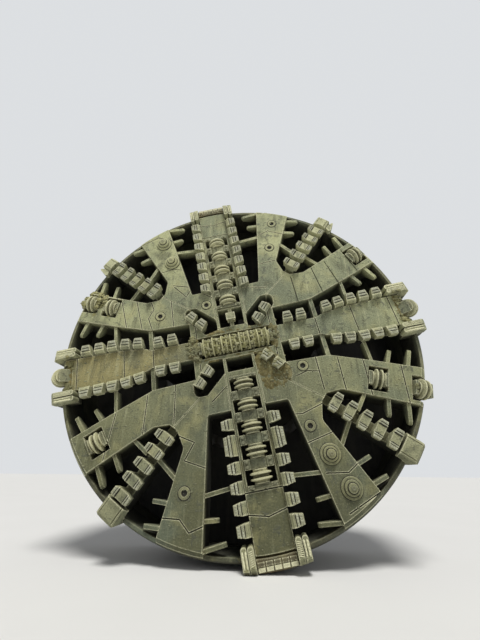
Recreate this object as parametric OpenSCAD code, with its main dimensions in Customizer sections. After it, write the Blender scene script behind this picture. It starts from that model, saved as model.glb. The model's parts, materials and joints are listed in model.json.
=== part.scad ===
// Mixed-ground tunnel boring machine cutterhead on its main bearing and bulkhead.
// The face looks towards -Y, the head turns about the Y axis and +Z is up.
// The origin is the centre of the bolted back face of the bearing housing.
// Face outlines are drawn as the front is seen: u to the right, v up, and depths
// are measured back from the plane of the tool tips.

/* [Overall] */
// Diameter cut by the gauge tools
cut_d = 8800; // [8700:10:8900]
// Tool tips to the bolted back face
head_reach = 2500; // [2450:10:2900]
// Angle the head stands turned from upright, counterclockwise from the front
head_turn = 10.85; // [0:0.05:20]

/* [Depths behind the tool tips] */
// Tool tips to the face of plates and spokes
face_back = 198; // [180:1:215]
// Tool tips to the front edge of the rim
rim_back = 295; // [280:1:320]
// Depth of the box sections behind the face
box_depth = 700; // [620:10:760]
// Tool tips to the front of the scraper blocks
scraper_back = 22; // [0:1:50]

/* [Rim] */
// Gauge circle to the outside of the rim
rim_setback = 130; // [100:5:150]
// Wall of the rim shell
rim_wall = 110; // [80:5:130]
// Width of the rim shell from front to back
rim_w = 800; // [600:10:900]
// Bevel round the outer edge of rim and plates
edge_bevel = 45; // [20:5:60]
// Seat gap left between pieces that meet
seat_gap = 0.3; // [0.2:0.05:0.5]

/* [Spokes] */
// Half the width of the two spokes that carry twin discs
disc_spoke_half = 374; // [360:2:390]
// Half the width of the plain spokes at their inner end
plain_spoke_half = 230; // [215:5:240]
// Half the width of the beams that carry the radial scraper rows
row_beam_half = 105; // [90:5:120]
// Tool tips to the front of those beams
row_beam_back = 330; // [300:5:360]
// Distance from the axis to the inner end of those beams
row_beam_start = 2332; // [2300:5:2380]

/* [Disc cutters] */
// Diameter of a cutter ring
ring_d = 432; // [420:1:440]
// Distance between the two rings of a twin disc
ring_gap = 101; // [90:1:110]
// Width of a ring where it leaves the hub
ring_root = 62; // [50:1:70]
// Width of a ring at its cutting edge
ring_tip = 22; // [14:1:30]
// Diameter of a cutter hub
hub_d = 300; // [280:2:320]
// Length of a cutter hub
hub_len = 260; // [240:2:280]
// Diameter of the shaft that a cutter turns on
shaft_d = 140; // [110:2:160]
// Radial running clearance on a shaft
shaft_clear = 0.1; // [0.05:0.01:0.1]
// Side clearance between a hub and its saddle
hub_side_gap = 6; // [5:0.5:8]
// Spacing of the twin discs along their spokes
disc_pitch = 464; // [450:1:480]
// Axis to the first twin disc of the upper spoke
upper_first_disc = 1157; // [1140:1:1170]
// Axis to the first twin disc of the lower spoke
lower_first_disc = 1020; // [1010:1:1040]
// Twin discs on each disc spoke
discs_per_spoke = 5; // [3:1:5]
// Half the width of the trough round the discs of an upright spoke
pocket_half = 300; // [290:1:305]
// Half the width of the pocket round a disc in a plate
plate_pocket_half = 262; // [250:1:270]
// Room behind a disc in its trough or pocket
pocket_room = 60; // [40:5:90]
// Length of a saddle block along the shaft at the end of a row
end_saddle = 66; // [50:2:80]

/* [Centre roller] */
// Diameter of the main rings of the centre roller
roller_d = 470; // [440:2:480]
// Diameter of the rings between them
roller_mid_d = 400; // [380:2:420]
// Diameter of the roller's hub
roller_hub_d = 310; // [280:2:340]
// Spacing of the main rings
roller_pitch = 214; // [200:1:220]
// Main rings on the roller
roller_rings = 8; // [6:1:8]

/* [Scrapers] */
// Width of a scraper block across its spoke
scraper_w = 250; // [240:2:256]
// Length of a scraper's lip, where its block is narrowest
lip_len = 160; // [150:2:175]
// Depth of the grooves between the ribs of a scraper
groove_depth = 16; // [8:1:20]
// Length of a scraper block along its spoke
scraper_len = 228; // [216:2:240]
// Depth of the tool block in front of its holder
scraper_block = 170; // [150:2:175]
// Length of the holder behind the block
holder_len = 190; // [150:5:220]
// Spacing of the scrapers along the disc spokes
scraper_pitch = 343; // [335:1:350]
// Spacing of the double-edged scrapers on the radial rows
row_pitch = 321; // [310:1:330]
// Length of a double-edged scraper across the row
row_tool_len = 420; // [390:5:440]
// Width of a double-edged scraper along the row
row_tool_w = 192; // [180:2:215]
// Width of the neck behind it, as a share of its length
row_neck = 0.62; // [0.5:0.01:0.7]
// Depth of its block
row_tool_depth = 188; // [170:2:195]

/* [Gauge tools] */
// Gauge circle to the tools that stand furthest out
gauge_setback = 22; // [15:1:40]
// Length of the gauge scrapers beside the plain spokes
gauge_len = 600; // [560:10:640]
// Length of the gauge scrapers beside the disc spokes
top_gauge_len = 470; // [450:10:490]
// Width of the lower gauge blocks across their rows
gauge_block_w = 500; // [440:10:520]
// Length of the lower gauge blocks along their rows
gauge_block_len = 400; // [380:5:410]
// Width of the upper gauge blocks across their rows
top_block_w = 400; // [380:10:420]
// Length of the upper gauge blocks along their rows
top_block_len = 330; // [310:5:350]
// Depth that gauge blocks and fins reach behind the rim's front edge
block_lap = 220; // [180:10:260]
// Depth that the wear shoes reach behind the rim's front edge
shoe_lap = 405; // [350:5:450]
// Distance from the gauge circle to the outside of the wear shoes
shoe_setback = 12; // [8:1:20]

/* [Drive] */
// Outside diameter of the drive flange behind the legs
flange_d = 4000; // [3900:10:4100]
// Thickness of the legs behind the spokes
spoke_leg_t = 380; // [300:10:420]
// Thickness of the legs behind the radial rows
row_leg_t = 260; // [200:10:300]
// Distance from the axis to the outside of the legs at the face
leg_reach = 2350; // [2200:10:2400]
// Depth of the journal seat that the inner edge of the legs covers
leg_overlap = 300; // [250:10:350]
// Outside diameter of the bearing housing
housing_d = 4500; // [4400:10:4600]
// Wall of the bearing housing round its journal
housing_wall = 500; // [450:10:560]
// Length of the bearing housing
housing_len = 420; // [400:10:440]
// Thickness of the drive flange
flange_t = 150; // [120:5:180]
// Outside of the bearing housing to its bolt circle
bolt_inset = 150; // [100:10:180]
// Depth of the housing bolt holes
bolt_hole_depth = 180; // [120:10:240]
// Bolts in the bearing housing
bolt_count = 48; // [24:4:60]
// Diameter of a housing bolt hole
bolt_hole_d = 56; // [40:2:60]
// Thickness of the bulkhead plate
bulkhead_t = 90; // [70:5:110]
// Diameter of the rotary pipe at the centre
pipe_d = 700; // [600:10:800]
// Gauge circle to the outside of the shield
shield_setback = 30; // [20:2:50]
// Wall of the shield skin
shield_wall = 75; // [60:5:90]

/* [Hidden] */
$fn = 96;
cut_r = cut_d / 2;
rim_r = cut_r - rim_setback;
rim_in = rim_r - rim_wall;
plate_r = rim_r - edge_bevel;
box_back = face_back + box_depth;
rim_end = rim_back + rim_w;
disc_back = ring_d / 2;
trough_floor = ring_d + pocket_room;
hub_half = hub_len / 2;
housing_front = head_reach - housing_len;
flange_back = housing_front - 20;
flange_front = flange_back - flange_t;
past_rim = 1.1 * cut_r;
// The face is laid out for this gauge radius. Beyond the start of the radial rows its places
// spread with the gauge circle, and its discs keep their distance from that circle.
layout_r = 4400;
spread = (cut_r - row_beam_start) / (layout_r - row_beam_start);

function spread_out(p) =
    let(r = norm([p[0], p[1]]), far = max(r - row_beam_start, 0) * (spread - 1))
    [p[0], p[1]] * (1 + far / r);
function spread_table(table) = [for (p = table) concat(spread_out(p), p[2])];
function from_gauge(u, v) = [u, v] * (1 + (cut_r - layout_r) / norm([u, v]));

journal_r = housing_d / 2 - housing_wall;
journal_wall = 260;
lap = seat_gap / 2;

// Room lengths of the pockets round a twin disc and the centre roller
end_shift = hub_half + hub_side_gap + end_saddle / 2;
pocket_len = 2 * (end_shift + end_saddle / 2 + seat_gap);
roller_len = (roller_rings - 1) * roller_pitch + ring_root + 60;
roller_trough = roller_len + 2 * (hub_side_gap + end_saddle + seat_gap);
roller_half_w = roller_d / 2 + 30;

// Chamber behind the head
bulkhead_front = housing_front + 100;
shield_r = cut_r - shield_setback;
bulkhead_r = shield_r - shield_wall;
shield_front = rim_end + 20;
shield_back = bulkhead_front + bulkhead_t + 120;

// Outer ends of an upper spoke's opening and of a lower spoke's opening
centre_top = 440;
centre_bottom = 365;
centre_side = 1047;
upper_opening_end = 911;
lower_opening_end = 682;
opening_half = 300;

// Quadrants as seen from the front: name, sign of u, sign of v
QUADRANTS = [
    ["upper_right", 1, 1],
    ["upper_left", -1, 1],
    ["lower_left", -1, -1],
    ["lower_right", 1, -1],
];
// Spokes: name, turn from upright, clockwise from the front
SPOKES = [["upper", 0], ["right", 90], ["lower", 180], ["left", 270]];

// Twin discs outside the disc spokes:
// name, place in the face, direction of the shaft there, tilt of the shaft, depth of the centre
branch_slope = 22;
gauge_tilt = 50;
gauge_disc_r = cut_r - 197;
gauge_disc_back = 239;
SINGLE_DISCS = [
    ["disc_upper_left_outer", from_gauge(-3490, 1870), 180 - branch_slope, 0, disc_back],
    ["disc_upper_left_inner", from_gauge(-2990, 1640), 180 - branch_slope, 0, disc_back],
    ["disc_upper_right", from_gauge(3500, 1762), branch_slope, 0, disc_back],
    ["disc_lower_left", from_gauge(-3300, -1640), 180 + branch_slope, 0, disc_back],
    ["disc_lower_right_inner", from_gauge(2880, -1500), -branch_slope, 0, disc_back],
    ["disc_lower_right_outer", from_gauge(3690, -1890), -branch_slope, 18, disc_back + 20],
    ["disc_gauge_left", [-gauge_disc_r, 0], 180, gauge_tilt, gauge_disc_back],
    ["disc_gauge_right", [gauge_disc_r, 0], 0, gauge_tilt, gauge_disc_back],
];

// Places a face-plane object at a depth and turns it with the head
module turned() {
    rotate([0, -head_turn, 0]) children();
}

// Extrudes a face outline between two depths
module slab(front, back) {
    translate([0, back - head_reach, 0])
        rotate([90, 0, 0])
            linear_extrude(back - front) children();
}

// Revolves an outline of radius and depth about the head's axis
module revolved() {
    translate([0, -head_reach, 0]) rotate([-90, 0, 0]) rotate_extrude($fn = 240) children();
}

// Keeps the half of a ring that lies above (0) or below (180) the head's own level line
module half_ring(angle) {
    intersection() {
        children();
        spoke_turn(angle) translate([-past_rim, -2 * head_reach, lap])
            cube([2 * past_rim, 4 * head_reach, past_rim]);
    }
}

// Mirrors an outline from the upper right quadrant
module quadrant(q) {
    mirror([q[1] < 0 ? 1 : 0, 0]) mirror([0, q[2] < 0 ? 1 : 0]) children();
}

// Turns an outline of the upright spoke to another spoke, in the face plane
module face_turn(angle) {
    rotate(-angle) children();
}

// Turns a solid of the upright spoke to another spoke
module spoke_turn(angle) {
    rotate([0, angle, 0]) children();
}

function unit(v) = v / norm(v);

// Points of the fillet of radius r at corner p, between its neighbours a and b
function fillet(p, a, b, r, steps = 6) =
    r == 0 ? [p] :
    let(
        to_a = unit(a - p),
        to_b = unit(b - p),
        half = acos(to_a * to_b) / 2,
        centre = p + unit(to_a + to_b) * r / sin(half),
        from = p + to_a * r / tan(half) - centre,
        to = p + to_b * r / tan(half) - centre,
        start = atan2(from[1], from[0]),
        sweep = (atan2(to[1], to[0]) - start + 540) % 360 - 180
    )
    [for (i = [0:steps]) centre + r * [cos(start + sweep * i / steps), sin(start + sweep * i / steps)]];

function cross_sum(t, i) = i < 0 ? 0 :
    let(a = t[i], b = t[(i + 1) % len(t)]) a[0] * b[1] - a[1] * b[0] + cross_sum(t, i - 1);

// Normal that points into the outline from its edge a to b; way is 1 where it runs counterclockwise
function inward(a, b, way) = way * unit([a[1] - b[1], b[0] - a[0]]);

// Table of u, v, fillet radius with every edge moved inwards by gap
function inset(table, gap) =
    let(n = len(table), way = cross_sum(table, n - 1) > 0 ? 1 : -1)
    [for (i = [0:n - 1])
        let(
            here = [table[i][0], table[i][1]],
            before = [table[(i + n - 1) % n][0], table[(i + n - 1) % n][1]],
            after = [table[(i + 1) % n][0], table[(i + 1) % n][1]],
            n1 = inward(before, here, way),
            n2 = inward(here, after, way),
            moved = here + gap * (n1 + n2) / (1 + n1 * n2)
        )
        [moved[0], moved[1], table[i][2]]];

// Outline with filleted corners, from a table of u, v, fillet radius
function filleted(table) = [
    for (i = [0:len(table) - 1])
        let(
            n = len(table),
            here = table[i],
            before = table[(i + n - 1) % n],
            after = table[(i + 1) % n]
        )
        each fillet([here[0], here[1]], [before[0], before[1]], [after[0], after[1]], here[2])
];

// Face outlines of the plates in the upper right quadrant
diagonal = row_beam_start / sqrt(2);
beam_corner = row_beam_half / sqrt(2);
fork_inner = [970, 1112];
slot_inner = [674, 340];
slot_outer = [centre_side, 760];
slot_end = 1110;
// Where the slot's long edge, run on from the centre plate, meets the end of the slot
slot_turn = slot_inner + (slot_outer - slot_inner) * (slot_end - slot_inner[0])
    / (slot_outer[0] - slot_inner[0]);

function steep_table() = [
    [disc_spoke_half, 690, 0],
    [disc_spoke_half, 1540, 0],
    [880, 1540, 60],
    [1410, 4500, 0],
    [2589, 4500, 0],
    [1474, 2090, 150],
    [diagonal - beam_corner, diagonal + beam_corner, 0],
    [diagonal, diagonal, 0],
    [fork_inner[0], fork_inner[1], 0],
    [830, 1112, 60],
];

function flat_table() = [
    [fork_inner[0], fork_inner[1], 0],
    [slot_end, fork_inner[1], 120],
    [slot_turn[0], slot_turn[1], 0],
    [slot_outer[0], slot_outer[1], 0],
    [centre_side, 712, 0],
    [2024, 748, 600],
    [2992, 1100, 500],
    [4500, 1690, 0],
    [4500, 2634, 0],
    [2068, 1562, 150],
    [diagonal + beam_corner, diagonal - beam_corner, 0],
    [diagonal, diagonal, 0],
];

module steep_outline(gap = 0) {
    polygon(filleted(inset(spread_table(steep_table()), gap)));
}

module flat_outline(gap = 0) {
    polygon(filleted(inset(spread_table(flat_table()), gap)));
}

function centre_table() = [
    [disc_spoke_half, centre_top],
    [disc_spoke_half, slot_inner[1]],
    slot_inner,
    slot_outer,
    [slot_outer[0], -slot_outer[1]],
    [slot_inner[0], -slot_inner[1]],
    [disc_spoke_half, -slot_inner[1]],
    [disc_spoke_half, -centre_bottom],
];

module centre_outline() {
    right = [for (p = centre_table()) [p[0], p[1], 0]];
    left = [for (i = [len(right) - 1:-1:0]) [-right[i][0], right[i][1], 0]];
    polygon(filleted(inset(concat(right, left), lap)));
}

// Half width of a plain spoke by distance from the axis
PLAIN_SPOKE = [
    [centre_side, plain_spoke_half],
    [2024, plain_spoke_half],
    [2140, plain_spoke_half + 56],
    [2768, plain_spoke_half + 138],
    [past_rim, plain_spoke_half + 185],
];

// Outlines of the spokes, standing upright
module disc_spoke_outline(start, gap = 0) {
    translate([-disc_spoke_half + gap, start + gap])
        square([2 * (disc_spoke_half - gap), past_rim - start]);
}

module plain_spoke_outline(gap = 0) {
    right = [for (p = PLAIN_SPOKE) [p[1], p[0], 0]];
    left = [for (i = [len(right) - 1:-1:0]) [-right[i][0], right[i][1], 0]];
    polygon(filleted(inset(concat(right, left), gap)));
}

module row_beam_outline(gap = 0) {
    rotate(-45)
        translate([-row_beam_half + gap, row_beam_start + 2 * gap])
            square([2 * (row_beam_half - gap), past_rim - row_beam_start]);
}

// Everything the plates and spokes can fill: bevelled at the edge, lapped over the rim.
// Grown by room, it is what tools outside them stay clear of.
module envelope(room = 0) {
    revolved() polygon([
        [0, face_back - room],
        [plate_r - edge_bevel * 2 + room, face_back - room],
        [plate_r + room, rim_back - seat_gap],
        [rim_in - seat_gap + room, rim_back - seat_gap],
        [rim_in - seat_gap + room, box_back],
        [0, box_back],
    ]);
}

// A box section of the face, inside the envelope
module box_section(front = face_back) {
    intersection() {
        slab(front, box_back) children();
        envelope();
    }
}

// Puts a disc cutter, its pocket or its saddle at its place; its shaft lies along local Z
module at_disc(place) {
    translate([place[1][0], place[4] - head_reach, place[1][1]])
        rotate([0, 90 - place[2], 0])
            rotate([-place[3], 0, 0])
                children();
}

// The space that one disc cutter and its two end blocks need
module disc_pocket() {
    depth = disc_back + pocket_room + seat_gap;
    translate([-plate_pocket_half, -2 * ring_d, -pocket_len / 2])
        cube([2 * plate_pocket_half, 2 * ring_d + depth, pocket_len]);
}

module pockets() {
    for (place = SINGLE_DISCS) at_disc(place) disc_pocket();
}

module centre_plate() {
    color("#8b8d74") turned() difference() {
        slab(face_back, box_back) centre_outline();
        slab(0, disc_back + roller_d / 2 + pocket_room)
            square([roller_trough, 2 * roller_half_w], center = true);
    }
}

// Upright disc spoke: opening beside the centre, then the trough of the twin discs
module disc_spoke(start, opening_end, first_disc) {
    trough_start = first_disc - pocket_len / 2;
    trough_len = (discs_per_spoke - 1) * disc_pitch + pocket_len;
    difference() {
        box_section() disc_spoke_outline(start, lap);
        slab(0, 2 * box_back)
            translate([-opening_half, start - 1]) square([2 * opening_half, opening_end - start + 1]);
        slab(0, trough_floor + seat_gap)
            translate([-pocket_half, trough_start]) square([2 * pocket_half, trough_len]);
    }
}

module upper_spoke() {
    color("#8b8d74") turned() disc_spoke(centre_top, upper_opening_end, upper_first_disc);
}

module lower_spoke() {
    color("#7f8268") turned() spoke_turn(180)
        disc_spoke(centre_bottom, lower_opening_end, lower_first_disc);
}

module plain_spoke(angle) {
    turned() difference() {
        box_section() face_turn(angle) plain_spoke_outline(lap);
        pockets();
    }
}

module left_spoke() {
    color("#97906f") plain_spoke(270);
}

module right_spoke() {
    color("#8b8d74") plain_spoke(90);
}

module steep_plate(q) {
    color("#8f927c") turned() box_section() quadrant(q) steep_outline(lap);
}

module flat_plate(q) {
    color("#8f927c") turned() difference() {
        box_section() quadrant(q) flat_outline(lap);
        pockets();
    }
}

module rim_half(angle) {
    color("#75775f") turned() half_ring(angle) difference() {
        revolved() polygon([
            [rim_in, rim_back],
            [plate_r, rim_back],
            [rim_r, rim_back + 2 * edge_bevel],
            [rim_r, rim_end],
            [rim_in, rim_end],
        ]);
        pockets();
    }
}

module row_beams() {
    color("#7c7e64") turned() box_section(row_beam_back)
        for (q = QUADRANTS) quadrant(q) row_beam_outline(lap);
}

// Bars in the upper right quadrant: start u, v, end u, v, width, 1 where the end stands free
BARS = [
    [1340, 3905, 850, 3860, 80, 1],
    [1270, 3440, 930, 3470, 80, 1],
    [1190, 3030, 340, 2960, 80, 0],
    [1780, 3060, 2200, 2920, 80, 1],
    [1960, 3440, 2400, 3310, 80, 1],
    [1640, 2720, 2050, 2160, 80, 0],
    [2950, 1930, 2830, 2300, 80, 1],
    [3320, 2080, 3180, 2530, 80, 1],
    [2520, 1720, 2180, 2130, 80, 0],
    [3200, 1240, 3390, 900, 80, 1],
    [3600, 1400, 3810, 990, 80, 1],
    [2904, 1120, 2904, 300, 70, 0],
    [2024, 780, 2024, 200, 100, 0],
];
bar_front = face_back + 24;
bar_depth = 260;
bar_nose = 60;

// One bar: a plate on edge, cut back to a rounded nose where its end stands free
module bar(b) {
    from = spread_out([b[0], b[1]]);
    along = spread_out([b[2], b[3]]) - from;
    reach = norm(along);
    translate([from[0], bar_front - head_reach, from[1]])
        rotate([0, -atan2(along[1], along[0]), 0])
            translate([0, 0, -b[4] / 2]) linear_extrude(b[4]) polygon(b[5] == 0
                ? [[0, 0], [reach, 0], [reach, bar_depth], [0, bar_depth]]
                : [
                    [0, 0],
                    [reach - bar_nose, 0],
                    [reach - bar_nose / 3, bar_nose / 3],
                    [reach, bar_nose],
                    [reach - bar_nose / 2, bar_nose * 2],
                    [reach / 3, bar_depth],
                    [0, bar_depth],
                ]);
}

module grizzly_bars() {
    color("#9c9e88") turned() difference() {
        for (q = QUADRANTS, b = BARS)
            mirror([q[1] < 0 ? 1 : 0, 0, 0]) mirror([0, 0, q[2] < 0 ? 1 : 0]) bar(b);
        slab(face_back, box_back) {
            for (q = QUADRANTS) quadrant(q) {
                steep_outline();
                flat_outline();
                row_beam_outline();
            }
            disc_spoke_outline(centre_top);
            face_turn(180) disc_spoke_outline(centre_top);
            face_turn(90) plain_spoke_outline();
            face_turn(270) plain_spoke_outline();
            for (s = UPPER_ROW) holder_room(disc_spoke_half, s);
            for (s = LOWER_ROW) face_turn(180) holder_room(disc_spoke_half, s);
            for (r = OUTER_ROW, angle = [90, 270])
                face_turn(angle) holder_room(plain_half(r), [r, scraper_len]);
        }
        slab(face_back, row_beam_back + seat_gap)
            for (angle = [45:90:315]) face_turn(angle) row_neck_room();
    }
}

// Room that bars leave for the necks of the double-edged scrapers
module row_neck_room() {
    half = row_neck * row_tool_len / 2 + 4;
    translate([-half, row_beam_start]) square([2 * half, past_rim]);
}

// Room that bars leave for a pair of scraper holders at the sides of an upright spoke
module holder_room(half, s) {
    wide = half + scraper_w - 20;
    translate([-wide, s[0] - s[1] / 2]) square([2 * wide, s[1]]);
}

// Scraper on the right side of an upright spoke: tool block in front, tapered holder behind.
// Its seat is the line u = 0; it is centred on v = 0.
module side_scraper(length) {
    back = scraper_back + scraper_block;
    intersection() {
        translate([0, 0, -length / 2]) linear_extrude(length) tool_profile(back);
        translate([0, back + 1 - head_reach, 0]) rotate([90, 0, 0])
            linear_extrude(back + 2) block_plan(length);
    }
    holder = length - 64;
    translate([0, 0, -holder / 2]) linear_extrude(holder) polygon([
        [0, back - head_reach],
        [scraper_w - 40, back - head_reach],
        [scraper_w / 2, back + holder_len - head_reach],
        [0, back + holder_len - head_reach],
    ]);
}

// Outline of a scraper block as the face is seen: full length at its seat, narrow at the lip
module block_plan(length) {
    narrow = (length - scraper_len + lip_len) / 2;
    shoulder = 0.38 * scraper_w;
    polygon([
        [-1, -length / 2],
        [shoulder, -length / 2],
        [scraper_w, -narrow],
        [scraper_w, narrow],
        [shoulder, length / 2],
        [-1, length / 2],
    ]);
}

// Ribs across a scraper block: start and end as shares of its width, distance behind its front
RIBS = [[0.18, 0.36, 14], [0.42, 0.62, 8], [0.68, 0.95, 0]];

// Side view of a scraper block, from its seat at 0 to the lip
module tool_profile(back) {
    front = scraper_back - head_reach;
    polygon(concat(
        [[0, back - head_reach], [0, front + 58]],
        [for (r = RIBS) each [
            [r[0] * scraper_w - 6, front + r[2] + groove_depth],
            [r[0] * scraper_w, front + r[2]],
            [r[1] * scraper_w, front + r[2]],
            [r[1] * scraper_w + 6, front + r[2] + groove_depth],
        ]],
        [[scraper_w, front + groove_depth + 30], [scraper_w - 12, back - head_reach]]
    ));
}

// Scrapers of the disc spokes, as far out as the gauge scrapers leave room:
// distance from the axis, length along the spoke
last_seat = cut_r - top_gauge_len - scraper_len / 2;
UPPER_ROW = [for (r = [1584:scraper_pitch:last_seat]) [r, scraper_len]];
LOWER_ROW = concat(
    [[1840, scraper_len], [2248, scraper_len * 1.75]],
    [for (r = [2664:scraper_pitch:last_seat]) [r, scraper_len]]
);
// Scrapers of the plain spokes: distance from the axis
OUTER_ROW = [for (r = [2310, 2618, 2925, 3236, 3560]) if (r < cut_r - gauge_len - scraper_len / 2) r];
RIGHT_ROW = concat([1329, 1654], OUTER_ROW);
LEFT_ROW = concat([1470, 1804], OUTER_ROW);

module disc_spoke_scrapers(row) {
    difference() {
        for (side = [0, 1], s = row)
            mirror([side, 0, 0]) translate([disc_spoke_half, 0, s[0]]) side_scraper(s[1]);
        for (q = QUADRANTS)
            slab(face_back - seat_gap, box_back) quadrant(q) steep_outline();
    }
}

function plain_half(r) = lookup(r, PLAIN_SPOKE);
function plain_flare(r) = atan2(plain_half(r + 20) - plain_half(r - 20), 40);

module plain_spoke_scrapers(row) {
    for (side = [0, 1], r = row)
        mirror([side, 0, 0])
            translate([plain_half(r), 0, r])
                rotate([0, plain_flare(r), 0])
                    side_scraper(scraper_len);
}

module upper_scrapers() {
    color("#b3b49c") turned() disc_spoke_scrapers(UPPER_ROW);
}

module lower_scrapers() {
    color("#b3b49c") turned() spoke_turn(180) disc_spoke_scrapers(LOWER_ROW);
}

module left_scrapers() {
    color("#b3b49c") turned() spoke_turn(270) plain_spoke_scrapers(LEFT_ROW);
}

module right_scrapers() {
    color("#b3b49c") turned() spoke_turn(90) plain_spoke_scrapers(RIGHT_ROW);
}

// Ribs of a double-edged scraper: start and end as shares of its half length, distance
// behind its front
ROW_RIBS = [[0, 0.44, 26], [0.52, 0.66, 8], [0.72, 0.97, 0]];

// Right half of the side view of a double-edged scraper
function row_profile() =
    let(half = row_tool_len / 2, front = scraper_back - head_reach)
    concat(
        [for (r = ROW_RIBS) each [
            [max(r[0] * half - 5, 0), front + r[2] + (r[0] == 0 ? 0 : groove_depth)],
            [r[0] * half, front + r[2]],
            [r[1] * half, front + r[2]],
            [r[1] * half + 5, front + r[2] + groove_depth],
        ]],
        [
            [half, front + 50],
            [half - 20, front + row_tool_depth],
            [row_neck * half, front + row_tool_depth],
            [row_beam_half - 5, row_beam_back - seat_gap - head_reach],
        ]
    );

// Double-edged scraper that stands across a radial row, on a tapered neck
module row_tool() {
    right = row_profile();
    left = [for (i = [len(right) - 1:-1:0]) [-right[i][0], right[i][1]]];
    half = row_tool_len / 2;
    intersection() {
        translate([0, 0, -row_tool_w / 2]) linear_extrude(row_tool_w) polygon(concat(right, left));
        translate([0, -head_reach + row_beam_back, 0]) rotate([90, 0, 0])
            linear_extrude(row_beam_back) polygon([
                [-half - 1, -0.36 * row_tool_w],
                [-half / 2, -row_tool_w / 2],
                [half / 2, -row_tool_w / 2],
                [half + 1, -0.36 * row_tool_w],
                [half + 1, 0.36 * row_tool_w],
                [half / 2, row_tool_w / 2],
                [-half / 2, row_tool_w / 2],
                [-half - 1, 0.36 * row_tool_w],
            ]);
    }
}

first_row_tool = row_beam_start + 240;
last_row_tool = cut_r - gauge_block_len - row_tool_w / 2;

module row_scrapers() {
    color("#b3b49c") turned() for (angle = [45, 135, 225, 315], r = [first_row_tool:row_pitch:last_row_tool])
        spoke_turn(angle) translate([0, 0, r]) row_tool();
}

// Scrapers on the long edge of the inner slots: sign of u, sign of v, distances along the edge
INNER_EDGE = [[1, 1, [92, 412]], [-1, 1, [229, 545]], [-1, -1, [229, 545]], [1, -1, [92, 412]]];
slot_angle = atan2(slot_outer[1] - slot_inner[1], slot_outer[0] - slot_inner[0]);

module inner_scrapers() {
    color("#b3b49c") turned() {
        for (e = INNER_EDGE, along = e[2])
            mirror([e[0] < 0 ? 1 : 0, 0, 0]) mirror([0, 0, e[1] < 0 ? 1 : 0])
                translate([slot_inner[0], 0, slot_inner[1]])
                    rotate([0, 90 - slot_angle, 0])
                        translate([0, 0, along])
                            mirror([1, 0, 0]) side_scraper(scraper_len);
        centre_scraper();
    }
}

// Tool on a bar across the opening above the centre
module centre_scraper() {
    slab(face_back, face_back + 120)
        translate([-45, centre_top]) square([90, upper_opening_end - seat_gap - centre_top]);
    slab(scraper_back + 60, face_back) translate([-95, 545]) square([190, 205]);
    slab(scraper_back, scraper_back + 60) translate([-110, 560]) square([220, 175]);
}

// What gauge tools can fill: out to the gauge circle, rounded back at its front edge
module gauge_room() {
    revolved() polygon([
        [0, 0],
        [cut_r - 170, 0],
        [cut_r - 90, scraper_back + 20],
        [cut_r - gauge_setback, scraper_back + 110],
        [cut_r - gauge_setback, rim_end],
        [0, rim_end],
    ]);
}

// Tiers of a gauge scraper: start across the spoke, width, distance behind the tool front
TIERS = [[0, 112, 0], [126, 112, 34]];

// Gauge scraper beside a spoke's outer end: two rounded bars on a block that laps the rim
module gauge_scraper(half, length) {
    start = cut_r - length;
    difference() {
        intersection() {
            union() {
                for (t = TIERS)
                    slab(scraper_back + t[2], rim_back) translate([half + t[0] + lap, start])
                        rounded_bar(t[1], length, 50);
                slab(rim_back - 120, rim_back + 240) translate([half + lap, start + 60])
                    square([TIERS[1][0] + TIERS[1][1] - 14, length]);
            }
            gauge_room();
        }
        rim_room();
    }
}

// Upright rectangle with its two lower corners rounded
module rounded_bar(w, length, r) {
    polygon(filleted([[0, 0, r], [w, 0, r], [w, length, 0], [0, length, 0]]));
}

// The rim with its seat gap, cut from what sits round it
module rim_room() {
    revolved() polygon([
        [rim_in - seat_gap, rim_back - seat_gap],
        [plate_r + seat_gap, rim_back - seat_gap],
        [rim_r + seat_gap, rim_back + 2 * edge_bevel],
        [rim_r + seat_gap, rim_end + 1],
        [rim_in - seat_gap, rim_end + 1],
    ]);
}

module gauge_scrapers() {
    color("#a5a78f") turned() for (spoke = SPOKES, side = [0, 1])
        spoke_turn(spoke[1]) mirror([side, 0, 0])
            if (spoke[1] % 180 == 0) gauge_scraper(disc_spoke_half, top_gauge_len);
            else gauge_scraper(plain_half(cut_r), gauge_len);
}

// Big block at the outer end of a radial row, its front narrower than its back
module gauge_block(width, length) {
    half = width / 2;
    difference() {
        intersection() {
            slab(scraper_back + 10, rim_back + block_lap) translate([-half, cut_r - length])
                polygon(filleted([
                    [0, 0, 0],
                    [width, 0, 0],
                    [width, length - 120, 50],
                    [width - 80, length, 40],
                    [80, length, 40],
                    [0, length - 120, 50],
                ]));
            translate([0, 0, cut_r - length - 1]) linear_extrude(length + 2)
                polygon(concat(gauge_side(half, 1), gauge_side(half, -1)));
            gauge_room();
        }
        gauge_block_room();
    }
}

// Pointed wear plate beside an upper gauge block, on the block's side at local u = half
module gauge_fin(half) {
    difference() {
        intersection() {
            slab(scraper_back + 80, rim_back + block_lap) polygon([
                [half - 10, rim_in - 60],
                [half + 90, rim_in - 100],
                [half + 130, rim_in - 60],
                [half + 70, cut_r],
                [half - 10, cut_r - 150],
            ]);
            gauge_room();
        }
        gauge_block_room();
    }
}

// What a gauge block stands clear of: the face behind it, the rim and the row's beam
module gauge_block_room() {
    slab(face_back + 40, 2 * box_back) translate([-past_rim, 0])
        square([2 * past_rim, rim_in - lap]);
    rim_room();
    slab(row_beam_back - seat_gap, 2 * box_back) face_turn(45) row_beam_outline();
}

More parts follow.
